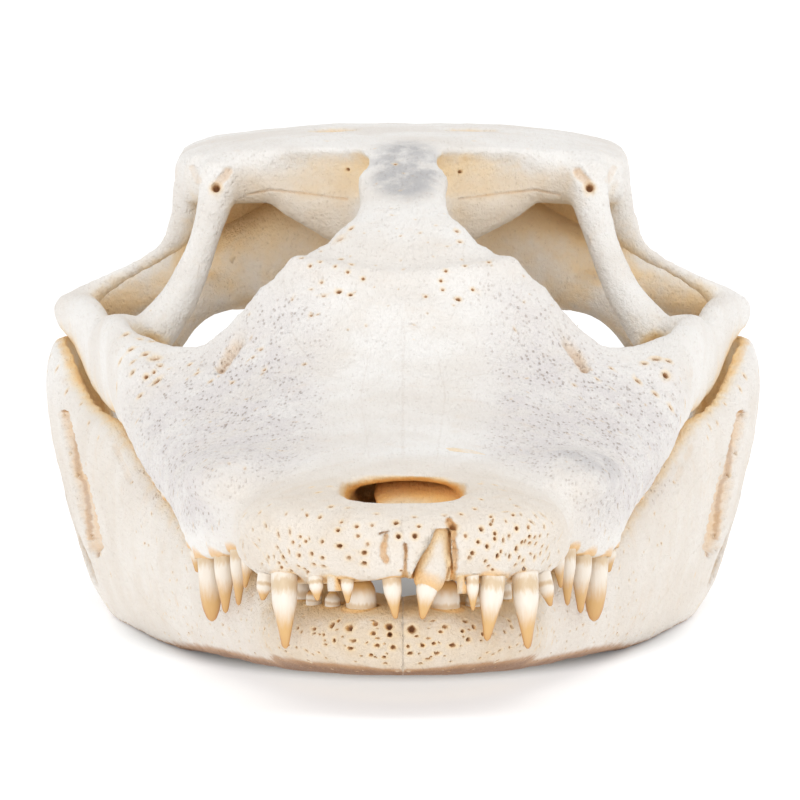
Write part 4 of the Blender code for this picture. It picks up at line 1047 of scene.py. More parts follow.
CHEEK_PITS = (
    (151.8, 341, 6, 5, 0.6, 0.8), (139.2, 338.8, 5, 5, 0.5, 0.7), (125, 334, 5, 8, 0.6, 0.7),
    (130, 349, 5, 8, 0.6, 0.8), (144.5, 353.7, 6, 9, 0.7, 0.9), (154, 358.3, 10, 10, 1, 0.9),
    (159.4, 365, 5, 6, 0.5, 0.6), (119.2, 361, 4, 7, 0.5, 0.7), (131.8, 361.7, 4, 6, 0.5, 0.6),
    (131.4, 372.5, 5, 6, 0.6, 0.8), (145.1, 376.6, 5, 6, 0.6, 0.8), (155.9, 381.2, 6, 10, 0.7, 0.9),
    (153, 371.7, 4, 5, 0.4, 0.6), (115.8, 387, 4, 7, 0.4, 0.7), (138.7, 396, 5, 6, 0.5, 0.7),
    (196.1, 373.2, 4, 5, 0.3, 0.7), (189.2, 364, 4, 5, 0.3, 0.6), (209.9, 381.2, 4, 5, 0.4, 0.7),
    (231.7, 382.4, 4, 4, 0.3, 0.7), (260.4, 349, 5, 4, 0.3, 0.5), (252.3, 357, 4, 4, 0.3, 0.5),
    (263.8, 369.7, 4, 4, 0.3, 0.6), (304, 364, 4, 4, 0.3, 0.6), (310.9, 314.6, 4, 4, 0.3, 0.5),
    (656.9, 358.5, 9, 9, 1, 0.9), (669.2, 360.6, 6, 7, 0.7, 0.9), (645.2, 363, 6, 7, 0.6, 0.8),
    (666.8, 374.8, 7, 8, 0.7, 0.9), (638.5, 380.9, 5, 9, 0.7, 0.9), (656.3, 393.8, 5, 7, 0.5, 0.7),
    (671.7, 407.7, 5, 7, 0.5, 0.8), (686.2, 404.6, 5, 7, 0.4, 0.6), (681.5, 420, 4, 6, 0.4, 0.6),
    (612, 368, 4, 5, 0.3, 0.6), (598, 379, 4, 5, 0.3, 0.6), (575, 385, 4, 4, 0.3, 0.5),
    (237, 343, 13, 12, 0.7, 0.1), (231, 350, 13, 12, 0.9, 0.2), (226, 357, 12, 12, 0.9, 0.3),
    (221, 364, 10, 11, 0.8, 0.4), (569, 343, 13, 12, 0.7, 0.1), (575, 350, 13, 12, 0.9, 0.2),
    (580, 357, 12, 12, 0.9, 0.3), (585, 364, 10, 11, 0.8, 0.4), (215.6, 187.2, 9, 9, 1, 0.9),
    (590, 187, 9, 9, 1, 0.9), (340.7, 258.4, 4, 4, 0.3, 0.7), (351.5, 263.5, 4, 5, 0.3, 0.7),
    (347.6, 271, 4, 4, 0.3, 0.6), (363, 278, 4, 4, 0.3, 0.7), (335, 265, 3.5, 4, 0.3, 0.6),
    (338.4, 291, 6, 5, 0.5, 0.9), (350.4, 294, 5, 4, 0.4, 0.9), (323.5, 295, 5, 4, 0.3, 0.4),
    (321.2, 281.4, 4, 4, 0.3, 0.4), (309.7, 265, 4, 4, 0.3, 0.5), (320, 260.7, 4, 4, 0.3, 0.5),
    (351, 227.4, 4, 8, 0.4, 0.7), (339.6, 237.7, 8, 11, 0.4, 0.3), (301.7, 257, 4, 4, 0.3, 0.5),
    (458.3, 298.4, 6, 5, 0.5, 0.9), (473, 288.8, 4, 4, 0.3, 0.7), (441, 280, 4, 4, 0.3, 0.6),
    (442.8, 288.8, 4, 4, 0.3, 0.6), (425.6, 295.6, 4, 4, 0.3, 0.6), (457, 230, 5, 6, 0.4, 0.6),
    (460, 240.6, 5, 5, 0.3, 0.6), (489, 261, 4, 4, 0.3, 0.6), (465, 264.7, 4, 4, 0.3, 0.7),
    (446, 270, 4, 4, 0.3, 0.6), (395.4, 163, 3.5, 3.5, 0.3, 0.9), (347.6, 168.5, 5, 4, 0.5, 0.8),
    (460, 170.5, 5, 4, 0.5, 0.8),
)
JAW_PITS = (
    (331.7, 626.9, 6, 8, 0.8, 1), (338.2, 622.5, 4, 5, 0.4, 0.8), (349, 629.9, 8, 7.5, 0.9, 1),
    (375.4, 625.7, 6, 6.5, 0.4, 0.6), (389.1, 628.7, 8, 8, 0.9, 1), (389.8, 637, 6, 5, 0.7, 1),
    (373, 635.6, 6, 5, 0.5, 0.8), (412, 632, 9.5, 9, 1.1, 1), (445.4, 628.7, 7, 5, 0.5, 0.6),
    (465.6, 623, 6, 4.5, 0.6, 0.9), (474, 628.7, 4.5, 6, 0.5, 0.8), (463, 633.3, 5, 4, 0.5, 0.9),
    (483.3, 636.3, 4, 5, 0.4, 0.8), (509.7, 622.5, 4, 5, 0.4, 0.7), (512, 628.7, 4, 5, 0.4, 0.7),
    (538.4, 631, 4, 6, 0.4, 0.7), (313.4, 631, 6, 4, 0.4, 0.7), (393, 650, 6, 5, 0.6, 0.9),
    (350, 651, 7, 4, 0.5, 0.9), (371, 658, 5, 4, 0.5, 0.8), (353, 643, 8, 3.5, 0.5, 0.8),
    (377, 648, 6, 4, 0.5, 0.8), (384, 660, 5, 3.5, 0.4, 0.8), (333.5, 643, 4, 5, 0.5, 0.8),
    (297, 630, 4, 4, 0.3, 0.6), (323, 637, 3.5, 4, 0.3, 0.6), (325, 647, 5, 3, 0.3, 0.7),
    (408, 649, 4, 4, 0.4, 0.7), (422.5, 648, 5, 3.5, 0.5, 0.9), (434, 646, 5, 3.5, 0.5, 0.8),
    (453, 648, 8, 4, 0.6, 0.9), (469, 642, 6, 5, 0.5, 0.9), (410, 656, 6, 4, 0.5, 0.9),
    (437, 656, 8, 3.5, 0.4, 0.8), (428, 662, 7, 3, 0.3, 0.6), (441, 634, 5, 3.5, 0.4, 0.7),
    (54.9, 332.3, 4, 6, 0.4, 0.6), (48.7, 357, 4, 6, 0.4, 0.6), (55.6, 368.6, 4, 6, 0.4, 0.6),
    (65.3, 391.5, 4, 6, 0.4, 0.6), (746, 376, 4, 6, 0.4, 0.6), (741.5, 389, 4, 6, 0.4, 0.6),
    (710.8, 427, 4, 6, 0.4, 0.6), (654.5, 636, 5, 4, 0.4, 0.6), (673.8, 629, 5, 4, 0.4, 0.6),
    (700, 612, 5, 4, 0.4, 0.6), (547.7, 637, 4, 4, 0.4, 0.7), (553, 644.6, 4, 4, 0.4, 0.7),
)


def pits_from_photo(tree, table):
    """(place, facing, long way, half width, half length, depth, brown) of each pit that the ray finds."""
    found = []
    for u, v, wide, high, deep, brown in table:
        place, facing, _, distance = tree.ray_cast(EYE, photo_ray(u, v))
        if place is None:
            continue
        to_metres = (CAMERA_DISTANCE + place.y / MM) / PHOTO_FOCAL * MM / 2
        up = Vector((0, 0, 1))
        long_way = (up - facing * up.dot(facing)).normalized()
        found.append((place, facing, long_way, wide * to_metres, high * to_metres, deep * MM, brown))
    return found


# %% [markdown]
# Between them the bone has pores too fine to list: on the skull table and the brow, on the flanks and
# the swollen corners of the snout, and on the sides, front and chin of the lower jaw. They are scattered
# by a seeded generator, none closer than a set distance.

# %% Scattered pits
def scattered(bone, count, apart, radii, deep, brown, region, seed, longer=(1, 1.5), way=(0, 0, 0)):
    """Pits on one region of a bone, longer than wide, along the given way or else any way."""
    rng = np.random.default_rng(seed)
    mesh = bone.data
    centres = table_of(mesh.polygons, "center", 3)
    facings = table_of(mesh.polygons, "normal", 3)
    areas = table_of(mesh.polygons, "area")
    weight = areas * region(centres / MM, facings)
    picked = rng.choice(len(areas), size=count * 8, p=weight / weight.sum())
    chosen = []
    for i in picked:
        near = any((Vector(centres[i]) - pit[0]).length < apart * MM for pit in chosen)
        if near or len(chosen) == count:
            continue
        facing = Vector(facings[i])
        along = Vector(rng.normal(size=3)) * 0.3 + Vector(way)
        long_way = (along - facing * along.dot(facing)).normalized()
        wide = rng.uniform(*radii) * MM
        depth = deep * MM * rng.uniform(0.7, 1.2)
        shade = brown * rng.uniform(0.6, 1.1)
        chosen.append((Vector(centres[i]), facing, long_way, wide, wide * rng.uniform(*longer), depth, shade))
    return chosen


def within(values, start, full, fall, end):
    """1 between full and fall, 0 before start and after end, smooth in between."""
    return fade(values, start, full) * (1 - fade(values, fall, end))


def on_table(places, facings):
    return fade(places[:, 2], 66.5, 68) * fade(facings[:, 2], 0.6, 0.9)


def on_brow(places, facings):
    _, y, z = places.T
    return fade(z, 44, 50) * (1 - fade(z, 67, 68)) * fade(facings[:, 2], 0.5, 0.8) * (1 - fade(y, 118, 124))


def on_jaw_side(places, facings):
    y = places[:, 1]
    return fade(y, 100, 120) * fade(facings[:, 0], 0.5, 0.8) * (1 - fade(y, 185, 195))


def on_snout_side(places, facings):
    x, y, _ = places.T
    flank = fade(facings[:, 2] + np.abs(facings[:, 0]), 0.3, 0.8)
    return within(y, 30, 40, 84, 96) * fade(np.abs(x), 12, 20) * flank


def on_jaw_front(places, facings):
    return within(places[:, 1], 12, 30, 60, 100) * fade(facings[:, 0] - facings[:, 1], 0.2, 0.7)


def on_chin(places, facings):
    _, y, z = places.T
    return (1 - fade(y, 16, 30)) * (1 - fade(z, 11, 14)) * fade(-facings[:, 1], 0, 0.4)


def on_bulb(places, facings):
    x, y, z = places.T
    return (1 - fade(y, 16, 30)) * fade(z, 19, 21) * fade(np.abs(x), 10, 18) * fade(-facings[:, 1], 0.1, 0.5)


# %% [markdown]
# ## Seams
#
# A skull is some thirty bones that meet in fine, wandering seams. Each seam here is a short list of
# places, looked for on the skin from above for the cranium and from the side for the lower jaw. A seeded
# wobble makes it wander.

# %% Seams
def drop_from_above(x, y):
    return Vector((x, y, 90.0)) * MM, Vector((0, 0, -1))


def come_from_side(y, z):
    return Vector((90.0, y, z)) * MM, Vector((-1, 0, 0))


SEAM_STEP = 0.3
WANDER = 0.35
TOP_SEAMS = (
    ((0, 36), (0, 60), (0, 84)), ((4.6, 34), (5.2, 50), (6, 66), (5, 78), (0, 86)),
    ((22.6, 31), (18, 33), (12, 38), (4.8, 43)), ((6, 70), (12, 74), (16, 84), (18, 95)),
    ((16, 76), (22, 80), (28, 88), (33, 92)), ((5, 80), (9, 88), (9, 98), (6.6, 108)),
    ((30, 76), (36, 90), (38, 100)), ((0, 138), (6, 139), (10, 144)), ((8, 135), (14, 140), (12, 147)),
    ((13, 153), (15, 162), (14, 172)), ((14, 148), (22, 150), (33, 149)),
)
SIDE_SEAMS = (
    ((118, 14), (104, 12), (88, 6), (74, 3)), ((124, 26), (108, 24), (90, 20)),
    ((152, 24), (166, 26), (182, 28)),
)


def seam_points(tree, corners, ray, signs, seed):
    """Points along a seam, on the skin, a step apart."""
    corners = np.array(corners)
    run = np.concatenate([[0], np.cumsum(np.linalg.norm(np.diff(corners, axis=0), axis=1))])
    at = np.arange(0, run[-1], SEAM_STEP)
    a, b = (np.interp(at, run, corners[:, k]) for k in (0, 1))
    rng = np.random.default_rng(seed)
    steps = np.cumsum(rng.normal(0, 0.22, (2, len(at))), axis=1)
    smooth = np.exp(-np.arange(0, 12) / 4)
    wobble = np.array([np.convolve(s, smooth / smooth.sum(), "same") for s in steps])
    wobble = np.clip(wobble - np.convolve(wobble[0], np.ones(40) / 40, "same"), -1, 1) * WANDER
    found = []
    for i in range(len(at)):
        start, way = ray(a[i] + wobble[0, i], b[i] + wobble[1, i])
        for sign in signs:
            flip = Vector((sign, 1, 1))
            place = tree.ray_cast(start * flip, way * flip)[0]
            if place is not None:
                found.append(place)
    return found


def all_seams(tree, seams, ray, signs):
    """Points along every seam of a list, each with its number as its seed."""
    return [place for i, corners in enumerate(seams) for place in seam_points(tree, corners, ray, signs, i)]


graph = bpy.context.evaluated_depsgraph_get()
cranium_tree, left_tree, right_tree = (BVHTree.FromObject(bone, graph) for bone, _ in bones)
cranium_seams = all_seams(cranium_tree, TOP_SEAMS, drop_from_above, (1, -1))
left_seams = all_seams(left_tree, SIDE_SEAMS, come_from_side, (1,))
right_seams = all_seams(right_tree, SIDE_SEAMS, come_from_side, (-1,))
print("seam points:", len(cranium_seams), len(left_seams), len(right_seams))

# %% [markdown]
# ## Grooves
#
# Long slits and gutters are easier to say as lines in the photograph than as shapes in space. Every point
# gets its pixel, and the nearer that lies to a line, the further the point moves the line's own way. A
# wave in the width keeps the edges as ragged as broken or grown bone.

# %% Lines in the photograph
FINE_AT_GROOVE = 0.32
# Ways in which the skin sinks. INWARD is towards the middle of the skull, from either side.
BACK = (0, 1, 0)
DOWN = (0, 0.5, -0.85)
INWARD = (-1, 0, 0)
# Each line: corners and half width in pixels, depth in millimetres, which way, how brown, how orange.
# Inside slits and holes the brown and orange are painted shade.
CRANIUM_GROOVES = (
    (((449, 523), (453, 528), (453, 536)), 4.6, 1.4, BACK, 0.15, 0.45),
    (((453, 536), (455, 552)), 2.6, 1.2, BACK, 0.1, 0.45),
    (((455, 552), (454, 570)), 3.8, 1.5, BACK, 0.1, 0.4), (((454, 570), (452, 588)), 3, 1.2, BACK, 0, 0.45),
    (((379, 535), (388, 533)), 1.6, 0.6, BACK, 0.5, 0.1),
    (((386, 537), (384, 546)), 2.8, 0.9, BACK, 0.1, 0.35),
    (((384, 546), (383, 556), (386, 562)), 4.2, 1, BACK, 0, 0.35),
    (((405, 546), (406, 553)), 2.6, 0.9, BACK, 0.45, 0.3), (((406, 553), (405, 575)), 2, 1, BACK, 0, 0.4),
    (((405, 575), (404, 592)), 3.8, 1.2, BACK, 0, 0.4),
    (((401, 503), (402, 530), (404, 548)), 0.9, 0.2, BACK, 0.1, 0),
)
CRANIUM_PAIRED_GROOVES = (
    (((238, 341), (231, 351), (221, 366)), 7, 1.2, DOWN, 0.1, 0.12),
    # A painted shadow line along the lower edge of the front wall of the table.
    (((246, 194), (270, 189), (310, 193), (347, 198)), 1.6, 0.3, BACK, 0.2, 0.15),
    (((215, 187), (220, 180), (228, 171)), 5.5, 0.6, BACK, 0.15, 0.25),
    (((192, 167), (198, 180)), 4, 0.4, BACK, 0.05, 0.15),
)
JAW_GROOVES = (
    (((62, 415), (68, 440), (78, 482)), 5.5, 1.2, INWARD, 0, 0.3),
    (((78, 482), (87, 520), (93, 548)), 8, 1.5, INWARD, 0, 0.3),
    (((63, 420), (70, 462), (79, 505), (85, 540)), 1.8, 0.6, INWARD, 0.3, 0.3),
    (((88, 520), (95, 545), (95, 556)), 3, 0.8, INWARD, 0.6, 0.2),
    (((57, 338), (70, 366), (92, 396), (110, 418)), 4.5, 0, INWARD, 0.1, 0.2),
    (((113, 447), (120, 462), (129, 482)), 3.5, 0.3, INWARD, 0.05, 0.12),
)


def other_side(lines):
    """The same lines on the right of the picture."""
    return tuple((tuple((2 * PHOTO_MIDDLE - u, v) for u, v in corners), *rest) for corners, *rest in lines)


def groove_spots(tree, lines, reach):
    """Where the skin has to be fine for the lines, as spots for refining."""
    spots = []
    for corners, half, *_ in lines:
        for start, end in zip(corners, corners[1:]):
            for share in np.linspace(0, 1, 24):
                for aside in (-1, -0.4, 0.4, 1):
                    u = start[0] + share * (end[0] - start[0]) + aside * half
                    v = start[1] + share * (end[1] - start[1])
                    place = tree.ray_cast(EYE, photo_ray(u, v))[0]
                    if place is not None:
                        spots.append((place, reach * MM, FINE_AT_GROOVE * MM))
    return spots


print("lines:", len(CRANIUM_GROOVES), len(CRANIUM_PAIRED_GROOVES), len(JAW_GROOVES))

# %% Sinking the lines
def ragged(pixels):
    """A wave down the picture, which keeps an edge as uneven as broken bone."""
    u, v = pixels.T
    return np.sin(v * 0.61) + np.sin(v * 1.43 + u * 0.9) * 0.6


def grooved(bone, tree, lines, thick):
    """Moves the points near each line, and keeps how brown and how orange each point is; inside slits and
    holes that colour is painted shade.
    """
    mesh = bone.data
    points = points_of(mesh)
    facings = normals_of(mesh)
    pixels = in_photo(points / MM)
    to_eye = np.array(EYE) - points
    to_eye /= np.linalg.norm(to_eye, axis=1)[:, None]
    seen = fade((facings * to_eye).sum(axis=1), -0.1, 0.15)
    wave = ragged(pixels)
    pit, orange = value_of(mesh, "pit"), np.zeros(len(points))
    shift = np.zeros_like(points)
    for corners, half, deep, way, brown, orange_shade in lines:
        hits = [tree.ray_cast(EYE, photo_ray(*corner))[0] for corner in corners]
        backs = [hit.y for hit in hits if hit is not None]
        if not backs:
            continue
        nearest = np.full(len(points), 1e6)
        for start, end in zip(corners, corners[1:]):
            a, b = np.array(start, float), np.array(end, float)
            share = np.clip((pixels - a) @ (b - a) / ((b - a) @ (b - a)), 0, 1)
            nearest = np.minimum(nearest, np.linalg.norm(pixels - a - share[:, None] * (b - a), axis=1))
        d = nearest / (half * (1 + 0.08 * wave))
        beyond = np.maximum(points[:, 1] - max(backs), min(backs) - points[:, 1]) / MM
        here = 1 - fade(beyond, thick, thick + 3)
        inside = (1 - fade(d, 0.3, 1.15)) * here
        side = np.where(points[:, 0] < 0, -1, 1) if way is INWARD else 1
        move = np.outer(inside * deep * MM, np.array(way))
        move[:, 0] *= side
        stronger = np.abs(move).sum(axis=1) > np.abs(shift).sum(axis=1)
        shift[stronger] = move[stronger]
        # Brown and orange along the line: inside slits and holes, painted shade.
        pit = np.maximum(pit, (1 - fade(d, 0.2, 1.0)) * seen * here * brown)
        orange = np.maximum(orange, (1 - fade(d, 0.5, 1.3)) * seen * here * orange_shade)
    place_points(mesh, points + shift)
    keep_value(mesh, "pit", pit)
    keep_value(mesh, "orange", orange)


# %% [markdown]
# ## Pressing pits and seams in the skin
#
# The skin is fine only where it has to be: edges near a pit or a seam are split until they are short
# enough, the rest stays as it is. Then the points inside a pit sink, those at its rim rise a little, and
# each point keeps how brown it is and how far the nearest seam lies.

# %% Sinking and staining
FINE_AT_SEAM = 0.4
FAR_FROM_SEAM = 3.0
SEAM_WIDTH = 0.2
SEAM_DEPTH = 0.04
PIT_REACH = 2.6
RIM_HEIGHT = 0.1
RIM_AT = 1.35
RIM_WIDTH = 0.3
THIN_BONE = 0.8
FAR_OUT = 9.0
# How far behind a line its groove may reach, in millimetres, and how far beside it the skin is fine.
CRANIUM_THICK, CRANIUM_FINE = (3, 0.5)
JAW_THICK, JAW_FINE = (14, 1)


def pressed(bone, pits, seams):
    """Sinks the pits and seams, and keeps pit, halo and seam values."""
    mesh = bone.data
    points = points_of(mesh)
    shift = np.zeros_like(points)
    pit, halo = np.zeros(len(points)), np.zeros(len(points))
    for place, facing, long_way, wide, long_half, deep, brown in pits:
        offset = points - np.array(place)
        reach = max(wide, long_half) * PIT_REACH
        near = np.flatnonzero((np.abs(offset) < reach).all(axis=1))
        offset = offset[near]
        side = np.array(facing.cross(long_way))
        away = offset @ np.array(facing)
        d = np.hypot(offset @ side / wide, offset @ np.array(long_way) / long_half)
        d = np.where(np.abs(away) > max(1.5 * wide, THIN_BONE * MM), FAR_OUT, d)
        sunk = 1 - fade(d, 0.45, 1.05)
        rim = RIM_HEIGHT * np.exp(-(((d - RIM_AT) / RIM_WIDTH) ** 2))
        shift[near] += np.outer((rim - sunk) * deep, np.array(facing))
        pit[near] = np.maximum(pit[near], (1 - fade(d, 0.55, 1.0)) * brown)
        halo[near] = np.maximum(halo[near], (1 - fade(d, 0.9, 2.3)) * min(1.0, brown + 0.2))
    spots = KDTree(max(1, len(seams)))
    for i, place in enumerate(seams):
        spots.insert(place, i)
    spots.balance()
    seam = np.empty(len(points))
    for i, point in enumerate(points):
        seam[i] = min(FAR_FROM_SEAM, spots.find(point)[2] / MM)
    shift -= normals_of(mesh) * (np.exp(-((seam / SEAM_WIDTH) ** 2)) * SEAM_DEPTH * MM)[:, None]
    place_points(mesh, points + shift)
    keep_value(mesh, "pit", pit)
    keep_value(mesh, "halo", halo)
    keep_value(mesh, "seam", seam)


# Each row: how many, how far apart, radii, depth, how brown, where, seed, then how much longer and which way.
CRANIUM_SCATTER = (
    (60, 2.6, (0.1, 0.2), 0.2, 0.35, on_table, 11),
    (50, 2.0, (0.1, 0.2), 0.2, 0.35, on_brow, 12),
    (110, 2.0, (0.1, 0.18), 0.25, 0.4, on_snout_side, 13, (1.4, 2.6), (0, 0, 1)),
    (50, 1.4, (0.12, 0.2), 0.3, 0.5, on_bulb, 16, (1.6, 3), (0, 0, 1)),
)
JAW_SCATTER = (
    (60, 3.0, (0.16, 0.34), 0.3, 0.6, on_jaw_side, 14),
    (130, 1.5, (0.1, 0.18), 0.25, 0.45, on_jaw_front, 15, (1.4, 3), (0, 1, 0)),
    (60, 1.0, (0.1, 0.18), 0.3, 0.7, on_chin, 17, (1.2, 2.6), (1, 0, 0)),
)
cranium_pits = pits_from_photo(cranium_tree, SNOUT_PITS + CHEEK_PITS)
cranium_pits += [pit for row in CRANIUM_SCATTER for pit in scattered(cranium, *row)]
on_jaw = pits_from_photo(all_bone((left_ramus, right_ramus)), JAW_PITS)
scatter = [pit for row in JAW_SCATTER for pit in scattered(left_ramus, *row)]
flip = Vector((-1, 1, 1))
left_pits = [pit for pit in on_jaw if pit[0].x > 0] + scatter
right_pits = [pit for pit in on_jaw if pit[0].x <= 0]
right_pits += [(p * flip, n * flip, w * flip, *rest) for p, n, w, *rest in scatter]
cranium_lines = CRANIUM_GROOVES + CRANIUM_PAIRED_GROOVES + other_side(CRANIUM_PAIRED_GROOVES)
for bone, tree, pits, seams, lines, thick, fine in (
    (cranium, cranium_tree, cranium_pits, cranium_seams, cranium_lines, CRANIUM_THICK, CRANIUM_FINE),
    (left_ramus, left_tree, left_pits, left_seams, other_side(JAW_GROOVES), JAW_THICK, JAW_FINE),
    (right_ramus, right_tree, right_pits, right_seams, JAW_GROOVES, JAW_THICK, JAW_FINE),
):
    spots = [(pit[0], max(pit[3], pit[4]) * 1.2, max(pit[3] * 0.7, 0.2 * MM)) for pit in pits]
    spots += [(place, 0.3 * MM, FINE_AT_SEAM * MM) for place in seams]
    spots += groove_spots(tree, lines, fine)
    refined(bone, spots)
    pressed(bone, pits, seams)
    grooved(bone, tree, lines, thick)
    print(bone.name, len(pits), "pits,", len(bone.data.polygons), "faces")

# %% [markdown]
# ## Zones of colour
#
# The thin bone of the snout's sides is greyer, and a bluish stain lies on the brow and on one side of the
# snout. Bone round a root is orange. The front of the snout and the bottom of the jaw are warmer, and the
# chin and the arch under the brow get warm painted shade. Faces turned down get brown painted shade, mixed
# with dust along the lowest edge of the jaw, and orange painted shade lies in the nostril and on the inner
# faces of the mouth. Each zone is a soft patch in space, kept as a value on the points.

# %% Zones
def patch(places, centre, reach):
    """1 in the middle of a soft egg-shaped patch, 0 outside it."""
    away = np.linalg.norm((places - np.array(centre)) / np.array(reach), axis=1)
    return 1 - fade(away, 0.4, 1.0)


def keep_zones(bone, teeth, is_jaw):
    places = points_of(bone.data) / MM
    facings = normals_of(bone.data)
    x, y, z = places.T
    grey = fade(y, 30, 44) * (1 - fade(y, 78, 100)) * fade(np.abs(x), 8, 18) * fade(z, 20, 24)
    brow_stain = patch(places, (0.4, 121, 66.5), (7, 17, 8))
    snout_stain = patch(places, (26, 44, 31), (7, 12, 7))
    blue = 1.4 * brow_stain + 0.5 * snout_stain
    socket = np.zeros(len(places))
    for _, root, tip, radius, neck in teeth:
        along, _, away = tooth_space(places, root, tip)
        near = fade(along, neck - 0.3, neck - 0.02) * (1 - fade(away, radius + 0.4, radius + 1.5))
        socket = np.maximum(socket, near * (along < neck + 0.5))
    orange = value_of(bone.data, "orange")
    if is_jaw:
        sections = np.array([row[:5] for row in RAMUS_SECTIONS])
        above = z - np.interp(np.maximum(y, 18), sections[:, 0], sections[:, 2] - sections[:, 4])
        # Warm tone with painted shade on the chin, and warmer towards the bottom of the jaw.
        chin = (1 - fade(y, 4, 60)) * (1 - fade(z, 12, 16))
        warm_tone_and_shade = np.maximum(chin, 0.3 * (1 - fade(z, 24, 40)))
        # Painted shade on faces turned down, and along the lowest edge of the jaw painted shade mixed with
        # dust.
        lip = (1 - fade(above, 0.3, 2.3)) * (1 - fade(y, 50, 120))
        dust_and_underside_shade = np.maximum(fade(-facings[:, 2], 0.6, 1.0), lip)
        # Orange painted shade on the inner faces of the front of the jaw, inside the mouth.
        mouth_side_shade = fade(-facings[:, 0] * np.sign(x), 0.1, 0.6) * (1 - fade(y, 40, 60))
        mouth_side_shade = mouth_side_shade + fade(facings[:, 1], 0.2, 0.7) * (y < 40)
        orange = orange + 0.6 * np.clip(mouth_side_shade, 0, 1) * fade(np.abs(x), 1.5, 3)
    else:
        # Warmer on the front of the snout.
        warm_tone_and_shade = 0.5 * (1 - fade(y, 20, 40)) * (1 - fade(z, 32, 38))
        # Painted shade on the wall under the overhanging rim of the brow.
        brow_overhang_shade = within(y, 108, 120, 134, 150) * (1 - fade(z, 65, 68)) * fade(-facings[:, 1], -0.2, 0.4)
        warm_tone_and_shade += 0.8 * brow_overhang_shade * fade(np.abs(x), 5, 9) * (1 - fade(np.abs(x), 23, 27))
        dust_and_underside_shade = np.zeros(len(places))
        # Orange painted shade deep in the nostril.
        hollow = (np.abs(x) < 11) * fade(y, 14.5, 18) * (1 - fade(y, 44, 50)) * (1 - fade(z, 32.5, 34.5))
        hollow = hollow * fade(value_of(bone.data, "wide"), 0.42, 0.6)
        orange = orange + hollow * np.where(x < -4.2, 0.7, 0.6)
    zones = {"grey": grey, "blue": blue, "socket": socket, "warm_tone_and_shade": warm_tone_and_shade, "dust_and_underside_shade": dust_and_underside_shade, "orange": orange}
    for name, values in zones.items():
        keep_value(bone.data, name, np.clip(values, 0, 1))


for bone, teeth in bones:
    keep_zones(bone, teeth, is_jaw=bone is not cranium)

# %% [markdown]
# ## Dry bone
#
# Clean bone is matt and nearly white, never one flat colour. The finish starts with cream clouds and
# fibres, adds the grey and blue zones, then tan where the bone is closed in and orange in the tightest
# crevices, as painted shade and warm bounce light. The warm zone with its painted shade, the brown painted
# shade of faces turned down mixed with dust, a fine speckle, thin seams and brown pits with a tan ring lie
# over them; among them lies the orange painted shade of slits, nostril and mouth. Grain, fibres and specks
# also move the light with bump.

# %% Bone finish
CREAM = from_srgb(246, 243, 239)
SHADED_CREAM = from_srgb(237, 231, 224)
LAVENDER = from_srgb(231, 225, 223)
BLUE_GREY = from_srgb(192, 190, 190)
HOLLOW_SHADE_CREAM = from_srgb(243, 230, 210)
TAN = from_srgb(252, 222, 172)
WARM_TAN = from_srgb(221, 200, 172)
ORANGE_TAN = from_srgb(240, 190, 118)
ORANGE_BROWN = from_srgb(184, 108, 24)
DEEP_BROWN = from_srgb(122, 78, 44)
ORANGE_PIT = from_srgb(178, 128, 78)
PIT_BROWN = from_srgb(116, 72, 38)
SEAM_BROWN = from_srgb(176, 148, 122)


